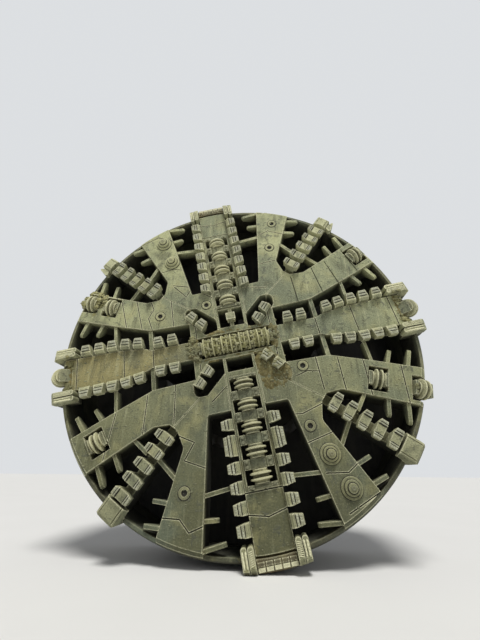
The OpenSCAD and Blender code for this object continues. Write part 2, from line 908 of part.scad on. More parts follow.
// One side of a gauge block seen from its end, with two ribs along it
function gauge_side(half, side) =
    let(front = scraper_back + 10 - head_reach, points = [
        [half - 150, front],
        [half - 100, front + 6],
        [half - 94, front + 26],
        [half - 80, front + 30],
        [half - 68, front + 16],
        [half - 40, front + 34],
        [half, front + 130],
        [half, rim_back + block_lap + 1 - head_reach],
    ])
    side > 0
        ? points
        : [for (i = [len(points) - 1:-1:0]) [-points[i][0], points[i][1]]];

// Gauge blocks: turn from upright, width, length, side of the pointed plate or 0
GAUGE_BLOCKS = [
    [45, top_block_w, top_block_len, 1],
    [135, gauge_block_w, gauge_block_len, 0],
    [225, gauge_block_w, gauge_block_len, 0],
    [315, top_block_w, top_block_len, -1],
];

module gauge_blocks() {
    color("#9a9c84") turned() for (b = GAUGE_BLOCKS) spoke_turn(b[0]) {
        gauge_block(b[1], b[2]);
        if (b[3] != 0) mirror([b[3] < 0 ? 1 : 0, 0, 0]) gauge_fin(b[1] / 2);
    }
}

// Wear shoe over the rim at the end of a disc spoke
module gauge_shoe() {
    intersection() {
        revolved() polygon([
            [rim_r + seat_gap, rim_back + 60],
            [rim_r + seat_gap, rim_back + shoe_lap],
            [cut_r - shoe_setback, rim_back + shoe_lap],
            [cut_r - shoe_setback, face_back],
            [cut_r - 60, face_back - 50],
            [plate_r - 60, face_back - 50],
            [plate_r - 60, face_back - seat_gap],
            [plate_r + seat_gap, face_back],
        ]);
        slab(0, rim_end) translate([-disc_spoke_half + 6, 0])
            square([2 * disc_spoke_half - 12, past_rim]);
    }
}

module gauge_shoes() {
    color("#6b5f3c") turned() for (angle = [0, 180]) spoke_turn(angle) gauge_shoe();
}

// Saddle block of full trough width: low in the middle, with a raised clamp at each side
module saddle_block(length) {
    floor_y = trough_floor - disc_back;
    half = pocket_half - seat_gap;
    translate([0, 0, -length / 2]) linear_extrude(length) polygon([
        [-half, floor_y],
        [-half, -70],
        [-half + 14, -100],
        [-172, -100],
        [-158, -72],
        [-96, -82],
        [96, -82],
        [158, -72],
        [172, -100],
        [half - 14, -100],
        [half, -70],
        [half, floor_y],
    ]);
}

// Row of saddles on one shaft, for the twin discs of an upright spoke
module saddle_row(first_disc) {
    between = disc_pitch - hub_len - 2 * hub_side_gap;
    last_disc = first_disc + (discs_per_spoke - 1) * disc_pitch;
    translate([0, disc_back - head_reach, 0]) {
        translate([0, 0, first_disc - end_shift]) saddle_block(end_saddle);
        translate([0, 0, last_disc + end_shift]) saddle_block(end_saddle);
        for (i = [1:discs_per_spoke - 1])
            translate([0, 0, first_disc + (i - 0.5) * disc_pitch]) saddle_block(between);
        translate([0, 0, first_disc - end_shift])
            cylinder(d = shaft_d, h = last_disc - first_disc + 2 * end_shift);
    }
}

module spoke_saddles() {
    color("#85876d") turned() {
        saddle_row(upper_first_disc);
        spoke_turn(180) saddle_row(lower_first_disc);
    }
}

// Two end blocks and the shaft of a single twin disc
module single_saddle() {
    for (side = [-1, 1])
        translate([-150, -90, side * end_shift - end_saddle / 2])
            cube([300, 90 + disc_back + pocket_room, end_saddle]);
    translate([0, 0, -end_shift]) cylinder(d = shaft_d, h = 2 * end_shift);
}

module branch_saddles() {
    color("#85876d") turned() for (place = SINGLE_DISCS) at_disc(place) single_saddle();
}

module centre_saddles() {
    shift = roller_len / 2 + hub_side_gap + end_saddle / 2;
    color("#6f6a4a") turned() translate([0, disc_back - head_reach, 0]) rotate([0, 90, 0]) {
        for (side = [-1, 1])
            translate([-150, -90, side * shift - end_saddle / 2])
                cube([300, 90 + roller_d / 2 + pocket_room, end_saddle]);
        translate([0, 0, -shift]) cylinder(d = shaft_d, h = 2 * shift);
    }
}

// Half outline of one cutter ring: centre along the shaft, outside radius
module ring_outline(centre, radius) {
    translate([0, centre]) polygon([
        [hub_d / 2 - 10, -ring_root / 2],
        [hub_d / 2, -ring_root / 2],
        [radius - 14, -ring_tip / 2 - 6],
        [radius, -ring_tip / 2],
        [radius, ring_tip / 2],
        [radius - 14, ring_tip / 2 + 6],
        [hub_d / 2, ring_root / 2],
        [hub_d / 2 - 10, ring_root / 2],
    ]);
}

module twin_disc() {
    color("#c2c3ae") rotate_extrude() {
        translate([shaft_d / 2 + shaft_clear, -hub_half])
            square([(hub_d - shaft_d) / 2 - shaft_clear, hub_len]);
        for (side = [-1, 1]) ring_outline(side * ring_gap / 2, ring_d / 2);
    }
}

module spoke_disc(angle, first_disc, i) {
    turned() spoke_turn(angle)
        translate([0, disc_back - head_reach, first_disc + (i - 1) * disc_pitch]) twin_disc();
}

module centre_roller() {
    start = -(roller_rings - 1) * roller_pitch / 2;
    color("#a79a5e") turned() translate([0, disc_back - head_reach, 0]) rotate([0, 90, 0])
        rotate_extrude() {
            translate([shaft_d / 2 + shaft_clear, -roller_len / 2])
                square([(roller_hub_d - shaft_d) / 2 - shaft_clear, roller_len]);
            for (i = [0:roller_rings - 1])
                ring_outline(start + i * roller_pitch, roller_d / 2);
            for (i = [0:roller_rings - 2])
                ring_outline(start + (i + 0.5) * roller_pitch, roller_mid_d / 2);
        }
}

// Seats a revolved piece on the plates, its axis towards the front
module on_face(place) {
    translate([place[0], face_back - seat_gap - head_reach, place[1]]) rotate([90, 0, 0]) children();
}

// Stepped domes on the steep plates: u, v
DOMES = [[-1474, 3388], [-1298, 2684], [1426, -2746], [1637, -3388]];

module wear_domes() {
    color("#a3a58a") turned() for (d = DOMES)
        on_face(spread_out(d)) rotate_extrude()
            polygon([[0, 0], [205, 0], [205, 40], [190, 55], [150, 60], [140, 110],
                [92, 125], [84, 160], [0, 170]]);
}

// Raised rings round the ports in the plates: u, v, outside radius
PORTS = [
    [-550, 1153, 121],
    [-1742, 1091, 121],
    [1646, 3370, 121],
    [1395, 2552, 121],
    [-1536, -2904, 121],
    [1382, -880, 121],
    [1188, -2156, 118],
];

module port_rings() {
    color("#8d8f78") turned() for (p = PORTS)
        on_face(spread_out(p)) rotate_extrude()
            translate([p[2] - 60, 0]) polygon([[0, 0], [60, 0], [60, 22], [48, 34], [8, 34], [0, 26]]);
}

// Legs from the box sections to the drive flange: thickness, inner end at the face
leg_inner = journal_r - leg_overlap;
SPOKE_LEG = [spoke_leg_t, leg_inner - 200];
ROW_LEG = [row_leg_t, leg_inner];

module drive_legs() {
    front = box_back + seat_gap - head_reach;
    back = flange_front - seat_gap - head_reach;
    color("#6e705a") turned() for (i = [0:7])
        let(leg = i % 2 == 0 ? SPOKE_LEG : ROW_LEG)
            spoke_turn(45 * i) rotate([90, 0, 90]) translate([0, 0, -leg[0] / 2])
                linear_extrude(leg[0]) polygon([
                    [front, leg[1]],
                    [front, leg_reach],
                    [back - 500, flange_d / 2],
                    [back, flange_d / 2 - 20],
                    [back, leg_inner],
                    [back - 400, leg_inner - 50],
                ]);
}

module drive_flange() {
    color("#6b6d58") turned() revolved() polygon([
        [pipe_d / 2 + seat_gap, flange_front],
        [flange_d / 2, flange_front],
        [flange_d / 2, flange_back],
        [pipe_d / 2 + seat_gap, flange_back],
    ]);
}

// Journal that turns in the bearing housing, with the ring that bolts it to the flange
module bearing_journal() {
    color("#7c7e80") turned() revolved() polygon([
        [journal_r - journal_wall, flange_back + seat_gap],
        [journal_r - seat_gap, flange_back + seat_gap],
        [journal_r - seat_gap, head_reach - 60],
        [journal_r - journal_wall, head_reach - 60],
    ]);
}

module rotary_pipe() {
    color("#5f6150") turned() revolved() polygon([
        [0, box_back + seat_gap],
        [pipe_d / 2, box_back + seat_gap],
        [pipe_d / 2, flange_back + 200],
        [pipe_d / 2 - 120, flange_back + 240],
        [pipe_d / 2 - 120, head_reach - 60],
        [0, head_reach - 60],
    ]);
}

module bearing_housing() {
    color("#4a4b45") difference() {
        revolved() polygon([
            [journal_r, housing_front],
            [housing_d / 2 - 60, housing_front],
            [housing_d / 2, housing_front + 60],
            [housing_d / 2, head_reach],
            [journal_r, head_reach],
        ]);
        for (i = [0:bolt_count - 1])
            rotate([0, 360 * i / bolt_count, 0])
                translate([0, 1, housing_d / 2 - bolt_inset])
                    rotate([90, 0, 0]) cylinder(d = bolt_hole_d, h = bolt_hole_depth + 1);
    }
}

module bulkhead() {
    color("#2c2d28") revolved() polygon([
        [housing_d / 2 + seat_gap, bulkhead_front],
        [bulkhead_r - seat_gap, bulkhead_front],
        [bulkhead_r - seat_gap, bulkhead_front + bulkhead_t],
        [housing_d / 2 + seat_gap, bulkhead_front + bulkhead_t],
    ]);
}

module bulkhead_ribs() {
    front = bulkhead_front + bulkhead_t + seat_gap - head_reach;
    inner = housing_d / 2 + seat_gap;
    outer = bulkhead_r - seat_gap;
    color("#3a3b35") for (i = [0:15])
        rotate([0, 22.5 * i, 0]) rotate([90, 0, 90]) translate([0, 0, -20])
            linear_extrude(40) polygon([
                [front, inner],
                [front, outer],
                [front + 110, outer],
                [-20, inner + 400],
                [-20, inner],
            ]);
}

// Half of the shield's front section, which closes the chamber round the head's back
module shield_half(angle) {
    color("#54564c") half_ring(angle) revolved() polygon([
        [bulkhead_r, shield_front + 60],
        [bulkhead_r + shield_wall / 2, shield_front],
        [shield_r - 10, shield_front],
        [shield_r, shield_front + 10],
        [shield_r, shield_back],
        [bulkhead_r, shield_back],
    ]);
}

centre_plate();
upper_spoke();
lower_spoke();
left_spoke();
right_spoke();
for (q = QUADRANTS) {
    steep_plate(q);
    flat_plate(q);
}
rim_half(0);  // rim_upper
rim_half(180);  // rim_lower
row_beams();
grizzly_bars();
upper_scrapers();
lower_scrapers();
left_scrapers();
right_scrapers();
row_scrapers();
inner_scrapers();
gauge_scrapers();
gauge_blocks();
gauge_shoes();
spoke_saddles();
branch_saddles();
centre_saddles();
wear_domes();
port_rings();
drive_legs();
drive_flange();
bearing_journal();
rotary_pipe();
bearing_housing();
bulkhead();
bulkhead_ribs();
shield_half(0);  // shield_upper
shield_half(180);  // shield_lower
for (i = [1:discs_per_spoke]) {
    spoke_disc(0, upper_first_disc, i);
    spoke_disc(180, lower_first_disc, i);
}
for (place = SINGLE_DISCS)
    turned() at_disc(place) twin_disc();
centre_roller();
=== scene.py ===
import json
import math

import bmesh
import bpy
import numpy as np
from mathutils import Matrix, Vector, noise
from mathutils.bvhtree import BVHTree


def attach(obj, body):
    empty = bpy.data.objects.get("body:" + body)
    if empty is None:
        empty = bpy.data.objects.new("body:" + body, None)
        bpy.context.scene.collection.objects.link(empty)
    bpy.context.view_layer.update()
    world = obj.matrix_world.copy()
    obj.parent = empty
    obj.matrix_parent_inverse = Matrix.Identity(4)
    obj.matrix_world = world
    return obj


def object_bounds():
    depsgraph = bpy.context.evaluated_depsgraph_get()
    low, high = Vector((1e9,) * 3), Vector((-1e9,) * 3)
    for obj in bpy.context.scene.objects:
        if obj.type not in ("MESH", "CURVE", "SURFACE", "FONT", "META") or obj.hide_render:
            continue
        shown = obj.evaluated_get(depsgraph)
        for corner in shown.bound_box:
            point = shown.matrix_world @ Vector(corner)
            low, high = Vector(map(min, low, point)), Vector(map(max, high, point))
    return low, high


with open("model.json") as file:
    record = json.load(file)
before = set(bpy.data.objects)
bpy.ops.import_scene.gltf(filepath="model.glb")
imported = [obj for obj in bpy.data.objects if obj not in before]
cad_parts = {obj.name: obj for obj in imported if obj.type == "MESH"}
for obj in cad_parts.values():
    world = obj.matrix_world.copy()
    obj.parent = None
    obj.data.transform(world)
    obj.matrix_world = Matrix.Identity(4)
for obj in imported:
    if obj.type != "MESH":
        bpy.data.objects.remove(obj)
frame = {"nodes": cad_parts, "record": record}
nodes = frame["nodes"]
cad_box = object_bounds()

# Bulkhead and shield close the machine behind the head: a thick steel wall with sixteen welded
# ribs inside a rolled skin. The chamber in front of the wall is always wet, and painted nearly
# black: wet slurry, and painted shade of the unlit chamber.


class Field:
    """A value that changes over a surface. Arithmetic on it adds the nodes that work it out."""

    def __init__(self, finish, socket):
        self.finish, self.socket = finish, socket

    def work(self, operation, first, second):
        wide = any(isinstance(v, tuple) or isinstance(v, Field) and v.socket.type in ("RGBA", "VECTOR")
                   for v in (first, second))
        kind = "ShaderNodeVectorMath" if wide else "ShaderNodeMath"
        return self.finish.node(kind, {"operation": operation}, {0: first, 1: second})

    def __add__(self, other):
        return self.work("ADD", self, other)

    __radd__ = __add__

    def __sub__(self, other):
        return self.work("SUBTRACT", self, other)

    def __rsub__(self, other):
        return self.work("SUBTRACT", other, self)

    def __mul__(self, other):
        return self.work("MULTIPLY", self, other)

    __rmul__ = __mul__

    def __truediv__(self, other):
        return self.work("DIVIDE", self, other)

    def __rtruediv__(self, other):
        return self.work("DIVIDE", other, self)


class Finish:
    """A material or the world, built up from fields."""

    def __init__(self, name, owner=None):
        self.owner = owner or bpy.data.materials.new(name)
        self.owner.use_nodes = True
        self.tree = self.owner.node_tree
        self.tree.nodes.clear()
        self.at = self.node("ShaderNodeTexCoord", {}, {}, "Object")

    def node(self, kind, settings, values, output=0):
        made = self.tree.nodes.new(kind)
        for key, value in settings.items():
            setattr(made, key, value)
        for key, value in values.items():
            socket = made.inputs[key]
            if isinstance(value, Field):
                self.tree.links.new(value.socket, socket)
            elif socket.type == "RGBA":
                socket.default_value = (*value, 1)
            elif socket.type == "VECTOR" and not isinstance(value, (tuple, Vector)):
                socket.default_value = (value,) * 3
            else:
                socket.default_value = value
        return Field(self, made.outputs[output]) if made.outputs else None

    def noise(self, scale, detail=4.0, rough=0.55, at=None, warp=0.0):
        return self.node("ShaderNodeTexNoise", {}, {
            "Vector": at or self.at, "Scale": scale, "Detail": detail, "Roughness": rough,
            "Distortion": warp,
        })

    def mask(self, field, low, high):
        """0 where the field is at low, 1 where it is at high, smooth between them."""
        return self.node("ShaderNodeMapRange", {"interpolation_type": "SMOOTHSTEP"},
                         {"Value": field, "From Min": low, "From Max": high})

    def blend(self, share, first, second):
        """The first colour where share is 0 and the second where it is 1."""
        return self.node("ShaderNodeMix", {"data_type": "RGBA"}, {0: share, 6: first, 7: second}, 2)

    def axis(self, index, field=None):
        return self.node("ShaderNodeSeparateXYZ", {}, {0: field or self.at}, index)

    def radius(self):
        """How far a place is from the axis of the head."""
        return self.node("ShaderNodeVectorMath", {"operation": "LENGTH"}, {0: self.at * (1, 0, 1)},
                         "Value")

    def corner(self, reach, inside=False):
        """0 on open surfaces, towards 1 in recesses, or at outer edges where inside is set."""
        return 1 - self.node("ShaderNodeAmbientOcclusion",
                             {"inside": inside, "only_local": inside, "samples": 5},
                             {"Distance": reach}, "AO")

    def close(self, colour, rough, bumps, metal=0.0):
        """Ends the material. bumps lists the relief: a field and its full height in metres."""
        values = {}
        for field, tall in bumps:
            values["Normal"] = self.node("ShaderNodeBump", {},
                                         {"Height": field, "Distance": tall, **values})
        shader = self.node("ShaderNodeBsdfPrincipled", {},
                           {"Base Color": colour, "Roughness": rough, "Metallic": metal, **values})
        self.node("ShaderNodeOutputMaterial", {}, {"Surface": shader})
        return self.owner


def dress(names, material, width=0):
    """Gives CAD nodes a material and rounds their edges, as ground or worn plate edges are."""
    for name in names:
        node = nodes[name]
        node.data.materials.clear()
        node.data.materials.append(material)
        if width:
            merge = node.modifiers.new("merge", "WELD")
            merge.merge_threshold = 0.0002
            ease = node.modifiers.new("ease", "BEVEL")
            ease.width, ease.segments, ease.limit_method = width, 2, "ANGLE"
            ease.angle_limit = math.radians(30)


REACH = 2.5  # tool tips to the bolted back face
LEAN = Matrix.Rotation(-math.radians(10.85), 4, "Y")  # the angle the head stands turned


def spot(u, v, depth):
    """A place on the upright head: to the right, up, and back from the tool tips."""
    return Vector((u, depth - REACH, v))


def fit(name, shape, material, body="cutterhead", turn=LEAN, smooth=False):
    """Makes a piece of a finished shape, puts it in its place and lets it ride on a body."""
    bmesh.ops.transform(shape, matrix=turn, verts=shape.verts)
    bmesh.ops.recalc_face_normals(shape, faces=shape.faces)
    for face in shape.faces:
        face.smooth = smooth
    mesh = bpy.data.meshes.new(name)
    shape.to_mesh(mesh)
    shape.free()
    mesh.materials.append(material)
    piece = bpy.data.objects.new(name, mesh)
    bpy.context.scene.collection.objects.link(piece)
    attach(piece, body)
    return piece


def skin(shape, rings):
    """Joins rings of points into one closed form."""
    count = len(rings[0])
    for low, high in zip(rings, rings[1:]):
        for i in range(count):
            shape.faces.new((low[i], low[(i + 1) % count], high[(i + 1) % count], high[i]))
    shape.faces.new(rings[0])
    shape.faces.new(rings[-1])


def bead(shape, path, radius, step=0.03, ripple=0.3, grain=28.0, sides=6, squat=1.0):
    """Lays a rough bead of weld metal or mud along a path in the face, ends closed."""
    along = [path[0]]
    for start, end in zip(path, path[1:]):
        parts = max(1, round((end - start).length / step))
        along += [start.lerp(end, i / parts) for i in range(1, parts + 1)]
    rings = []
    for i, place in enumerate(along):
        ahead = (along[min(i + 1, len(along) - 1)] - along[max(i - 1, 0)]).normalized()
        out = Vector((0, -1, 0)) if abs(ahead.y) < 0.9 else Vector((1, 0, 0))
        across = ahead.cross(out).normalized()
        out = across.cross(ahead)
        taper = 0.45 if i in (0, len(along) - 1) else 1.0
        ring = []
        for k in range(sides):
            a = 2 * math.pi * (k + 0.5 * (i % 2)) / sides
            lumpy = noise.noise(place * grain + Vector((k * 3.1, i * 0.7, 0)))
            wide = radius * taper * (1 + ripple * lumpy)
            ring.append(shape.verts.new(
                place + across * (wide * math.cos(a)) + out * (wide * squat * math.sin(a))))
        rings.append(ring)
    skin(shape, rings)


# Painted shade: the chamber wall is near-black, as wet slurry and as the shade inside the chamber.
def wet_and_shaded_wall():
    finish = Finish("chamber_slurry_and_painted_shade")
    patches = finish.noise(1.3, 6)
    grain = finish.noise(46, 4)
    run = finish.noise(1.0, 5, 0.6, at=finish.at * (5, 5, 0.5))
    colour = finish.blend(finish.mask(patches, 0.35, 0.7), (0.010, 0.010, 0.008), (0.034, 0.033, 0.024))
    colour = finish.blend(finish.mask(run, 0.5, 0.72) * 0.5, colour, (0.055, 0.052, 0.034))
    return finish.close(colour, 0.5 + grain * 0.35, [(patches, 0.01), (grain, 0.004)])


def rolled_skin():
    finish = Finish("shield_skin")
    wide = finish.noise(0.8, 6)
    run = finish.noise(1.0, 6, 0.6, at=finish.at * (6, 6, 0.7))
    speck = finish.noise(70, 5, 0.7)
    colour = finish.blend(finish.mask(wide, 0.35, 0.7), (0.115, 0.118, 0.082), (0.060, 0.060, 0.040))
    colour = finish.blend(finish.mask(run, 0.5, 0.7) * 0.6, colour, (0.150, 0.145, 0.090))
    colour = finish.blend(finish.mask(speck, 0.52, 0.75) * 0.6, colour, (0.045, 0.042, 0.03))
    rubbed = finish.mask(finish.corner(0.03, inside=True), 0.3, 0.6)
    colour = finish.blend(rubbed * 0.6, colour, (0.30, 0.30, 0.22))
    return finish.close(colour, 0.62 + speck * 0.3, [(wide, 0.01), (speck, 0.004)])


chamber_slurry_and_shade = wet_and_shaded_wall()
dress(["bulkhead", "bulkhead_ribs"], chamber_slurry_and_shade)
dress(["shield_upper", "shield_lower"], rolled_skin(), 0.008)

RIBS = 16
RIB_HALF = 0.03
RIB_FROM, RIB_TO = 2.30, 4.25
WALL_BACK = 2.273
shape = bmesh.new()
for rib in range(RIBS):
    turn = Matrix.Rotation(math.radians(360 / RIBS * rib), 3, "Y")
    for side in (-RIB_HALF, RIB_HALF):
        ends = [turn @ spot(side, far, WALL_BACK) for far in (RIB_FROM, RIB_TO)]
        bead(shape, ends, 0.013, 0.06)
fit("rib_welds", shape, chamber_slurry_and_shade, "bulkhead_frame", turn=Matrix())

# The bearing housing is a turned forging bolted to the shield through its back face, and the
# journal inside it is bolted to the head's drive flange. Machined faces stay bare and oily.


def machined():
    finish = Finish("machined_ring")
    rings = finish.node("ShaderNodeMath", {"operation": "SINE"}, {0: finish.radius() * 900})
    smudge = finish.noise(2.2, 6)
    scuff = finish.noise(40, 5, 0.7)
    colour = finish.blend(finish.mask(smudge, 0.4, 0.65), (0.22, 0.22, 0.21), (0.08, 0.075, 0.06))
    colour = finish.blend(finish.mask(scuff, 0.55, 0.72) * 0.6, colour, (0.04, 0.038, 0.03))
    return finish.close(colour, 0.36 + smudge * 0.35, [(rings, 0.0006), (smudge, 0.004)], metal=0.6)


def lathe(shape, place, axis, profile, sides, spin=0.0):
    """Revolves a profile of radius and height about an axis, with closed ends."""
    stand = Vector(axis).to_track_quat("Z", "Y")
    rings = []
    for radius, height in profile:
        ring = []
        for i in range(sides):
            a = 2 * math.pi * i / sides + spin
            local = Vector((radius * math.cos(a), radius * math.sin(a), height))
            ring.append(shape.verts.new(place + stand @ local))
        rings.append(ring)
    skin(shape, rings)


def bolt(shape, place, axis, size):
    """A hexagon bolt on a washer, size across its corners, sunk a little into what it holds."""
    r = size / 2
    spin = place.x * 7 + place.z * 3
    lathe(shape, place, axis, [(r * 1.3, -0.004), (r * 1.3, r * 0.16), (r * 1.2, r * 0.24)], 18)
    lathe(shape, place, axis, [(r, r * 0.1), (r, r * 0.95), (r * 0.84, r * 1.12)], 6, spin)


bare_ring = machined()
dress(["bearing_housing", "bearing_journal"], bare_ring, 0.008)

JOURNAL_BOLTS = 36
JOURNAL_BOLT_RADIUS = 1.62
JOURNAL_BACK = 2.44
shape = bmesh.new()
for i in range(JOURNAL_BOLTS):
    turn = Matrix.Rotation(math.radians(360 / JOURNAL_BOLTS * i), 3, "Y")
    bolt(shape, turn @ spot(0, JOURNAL_BOLT_RADIUS, JOURNAL_BACK), (0, 1, 0), 0.075)
fit("journal_bolts", shape, bare_ring, "cutterhead", turn=Matrix())

# Legs, drive flange and rotary pipe carry the head on its bearing. They are welded plate in the
# excavation chamber behind the face, painted nearly black: wet mud, and painted shade of the chamber.


# Painted shade: near-black wet mud, as the shade inside the chamber behind the face.
def wet_mud_and_shade():
    finish = Finish("wet_mud_and_shade")
    patches = finish.noise(1.1, 6)
    grain = finish.noise(30, 5)
    colour = finish.blend(finish.mask(patches, 0.35, 0.68), (0.016, 0.016, 0.011),
                          (0.050, 0.048, 0.030))
    return finish.close(colour, 0.5 + grain * 0.4, [(patches, 0.02), (grain, 0.006)])


inner_mud_and_shade = wet_mud_and_shade()
dress(["drive_legs"], inner_mud_and_shade, 0.01)
dress(["drive_flange", "rotary_pipe"], inner_mud_and_shade)

LEGS = [(0.20, 1.45), (0.14, 1.46)]  # half width and inner end: behind a spoke, behind a row
LEG_TO = 1.95
FLANGE_FRONT = 1.91
shape = bmesh.new()
for i in range(8):
    half, inner = LEGS[i % 2]
    turn = Matrix.Rotation(math.radians(45 * i), 3, "Y")
    for side in (-half, half):
        ends = [turn @ spot(side, far, FLANGE_FRONT) for far in (inner, LEG_TO)]
        bead(shape, ends, 0.022, 0.04)
fit("leg_welds", shape, inner_mud_and_shade, "cutterhead")

# Spokes, plates, beams and rim are one welded steel box structure. Fine grey-green ground has
# dried on all of it, flaked off to dark steel in places, and the outer edges are rubbed bright.
# Its colour has painted light and shade: lighter towards the top of the head and darker towards
# the bottom, paler on what faces up (dust, and painted top light), yellow clay colour in the
# corners (clay, and painted shade), and near black on faces set back behind the front (painted shade).


def dried_mud(name, top_lit_tone, bottom_shaded_tone, clay, edge_reach=0.03, clay_reach=0.16, relief=1.0, dust_and_top_light_share=0.4, grime=1.0,
               rub=0.9):
    """Ground dried on steel, with painted light and shade: lighter high on the head and darker low
    down, paler where it faces up (settled ground, and painted top light), clay in recesses (clay,
    and painted shade), near black behind the front (painted shade).

    edge_reach and clay_reach are how far the rubbed edges and the clay with its painted shade go, in
    metres.
    """
    finish = Finish(name)
    wide = finish.noise(0.55, 5)
    blotch = finish.noise(1.7, 5, 0.52, warp=0.4)
    crust = finish.noise(5.5, 6, 0.62, warp=1.2)
    speck = finish.noise(34, 5, 0.68)
    sand = finish.noise(170, 2, 0.6)
    run = finish.noise(1.0, 6, 0.6, at=finish.at * (9, 9, 1.0))
    # Painted light: the colour runs from the top tone high on the head to the bottom tone low down, and
    # the paler runs and specks grow towards the top.
    painted_top_light = finish.mask(finish.axis(2), -3.8, 2.4)
    inner = finish.mask(finish.radius() + (blotch - 0.5) * 3.0, 3.1, 1.5)
    up = finish.axis(2, finish.node("ShaderNodeTexCoord", {}, {}, "Normal"))
    # Paler where the surface faces up: dust, and painted top light.
    dust_and_top_light = finish.mask(up + (crust - 0.5) * 0.8, 0.25, 0.85)
    flaked = finish.mask(crust, 0.57, 0.63)
    # Clay colour in recesses, found by occlusion: clay, and painted shade.
    clay_and_painted_shade = finish.mask(finish.corner(clay_reach) + (blotch - 0.5) * 0.4, 0.24, 0.62)
    # Painted shade: faces set back behind the front turn near black.
    painted_shade_behind_front = finish.mask(finish.axis(1), -2.27, -2.00)
    edge = finish.corner(edge_reach, inside=True) + (speck - 0.5) * 0.5
    rubbed = finish.mask(edge, 0.28, 0.55) * (1 - painted_shade_behind_front * 0.8)
    # Painted light and shade: the top tone high up, the bottom tone low down.
    colour = finish.blend(painted_top_light, bottom_shaded_tone, top_lit_tone)
    # Painted light and shade in these layers: the up-facing layer is dust and painted top light, the
    # clay layer is clay and painted shade, the near-black layer is painted shade.
    for share, layer in (
        (inner * 0.46 * grime, (0.058, 0.068, 0.048)),
        (finish.mask(wide, 0.46, 0.62) * 0.60 * grime, (0.112, 0.136, 0.095)),
        (finish.mask(blotch, 0.52, 0.68) * 0.40, (0.330, 0.310, 0.140)),
        (finish.mask(blotch, 0.46, 0.32) * 0.65 * grime, (0.085, 0.090, 0.050)),
        (finish.mask(run, 0.54, 0.68) * 0.55 * grime, (0.055, 0.058, 0.032)),
        (finish.mask(run, 0.45, 0.32) * (0.12 + painted_top_light * 0.26), (0.500, 0.500, 0.300)),
        (dust_and_top_light * (0.45 + painted_top_light * 0.65) * dust_and_top_light_share, (0.520, 0.515, 0.310)),
        (flaked * 0.65 * grime, (0.055, 0.060, 0.040)),
        (finish.mask(speck, 0.54, 0.66) * 0.65, (0.045, 0.045, 0.024)),
        (finish.mask(speck, 0.46, 0.34) * (0.14 + painted_top_light * 0.30), (0.560, 0.555, 0.340)),
        (clay_and_painted_shade * 0.8, clay),
        (painted_shade_behind_front * 0.9, (0.013, 0.013, 0.008)),
        (rubbed * rub, (0.720, 0.705, 0.470)),
    ):
        colour = finish.blend(share, colour, layer)
    rough = 0.74 + sand * 0.24 - rubbed * 0.16 - flaked * 0.12
    bumps = [(blotch, 0.020), (crust, 0.020), (speck, 0.011), (sand, 0.003)]
    return finish.close(colour, rough, [(field, tall * relief) for field, tall in bumps])


quarters = [f"{side}_plate_{place}" for side in ("steep", "flat")
            for place in ("upper_right", "upper_left", "lower_left", "lower_right")]
spokes = ["upper_spoke", "lower_spoke", "left_spoke", "right_spoke"]
structure = ["centre_plate", *spokes, "row_beams", "grizzly_bars", *quarters]
plate_mud = dried_mud("plate_mud", (0.410, 0.424, 0.228), (0.088, 0.090, 0.043), (0.100, 0.088, 0.034))
dress(structure, plate_mud, 0.010)
# A darker copy of the plate mud for the rim: more grime, and painted shade on its outward-tilted face.
rim_mud_and_shade = dried_mud("rim_mud_and_shade", (0.190, 0.190, 0.110), (0.060, 0.060, 0.032), (0.070, 0.062, 0.028),
                    grime=1.3, rub=0.5)
dress(["rim_upper", "rim_lower"], rim_mud_and_shade, 0.010)

# Wear plates are welded flat over the front of every box section. They stop a little short of
# its edges and meet in narrow seams, some of them cut in a chevron. The left spoke's are yellow.

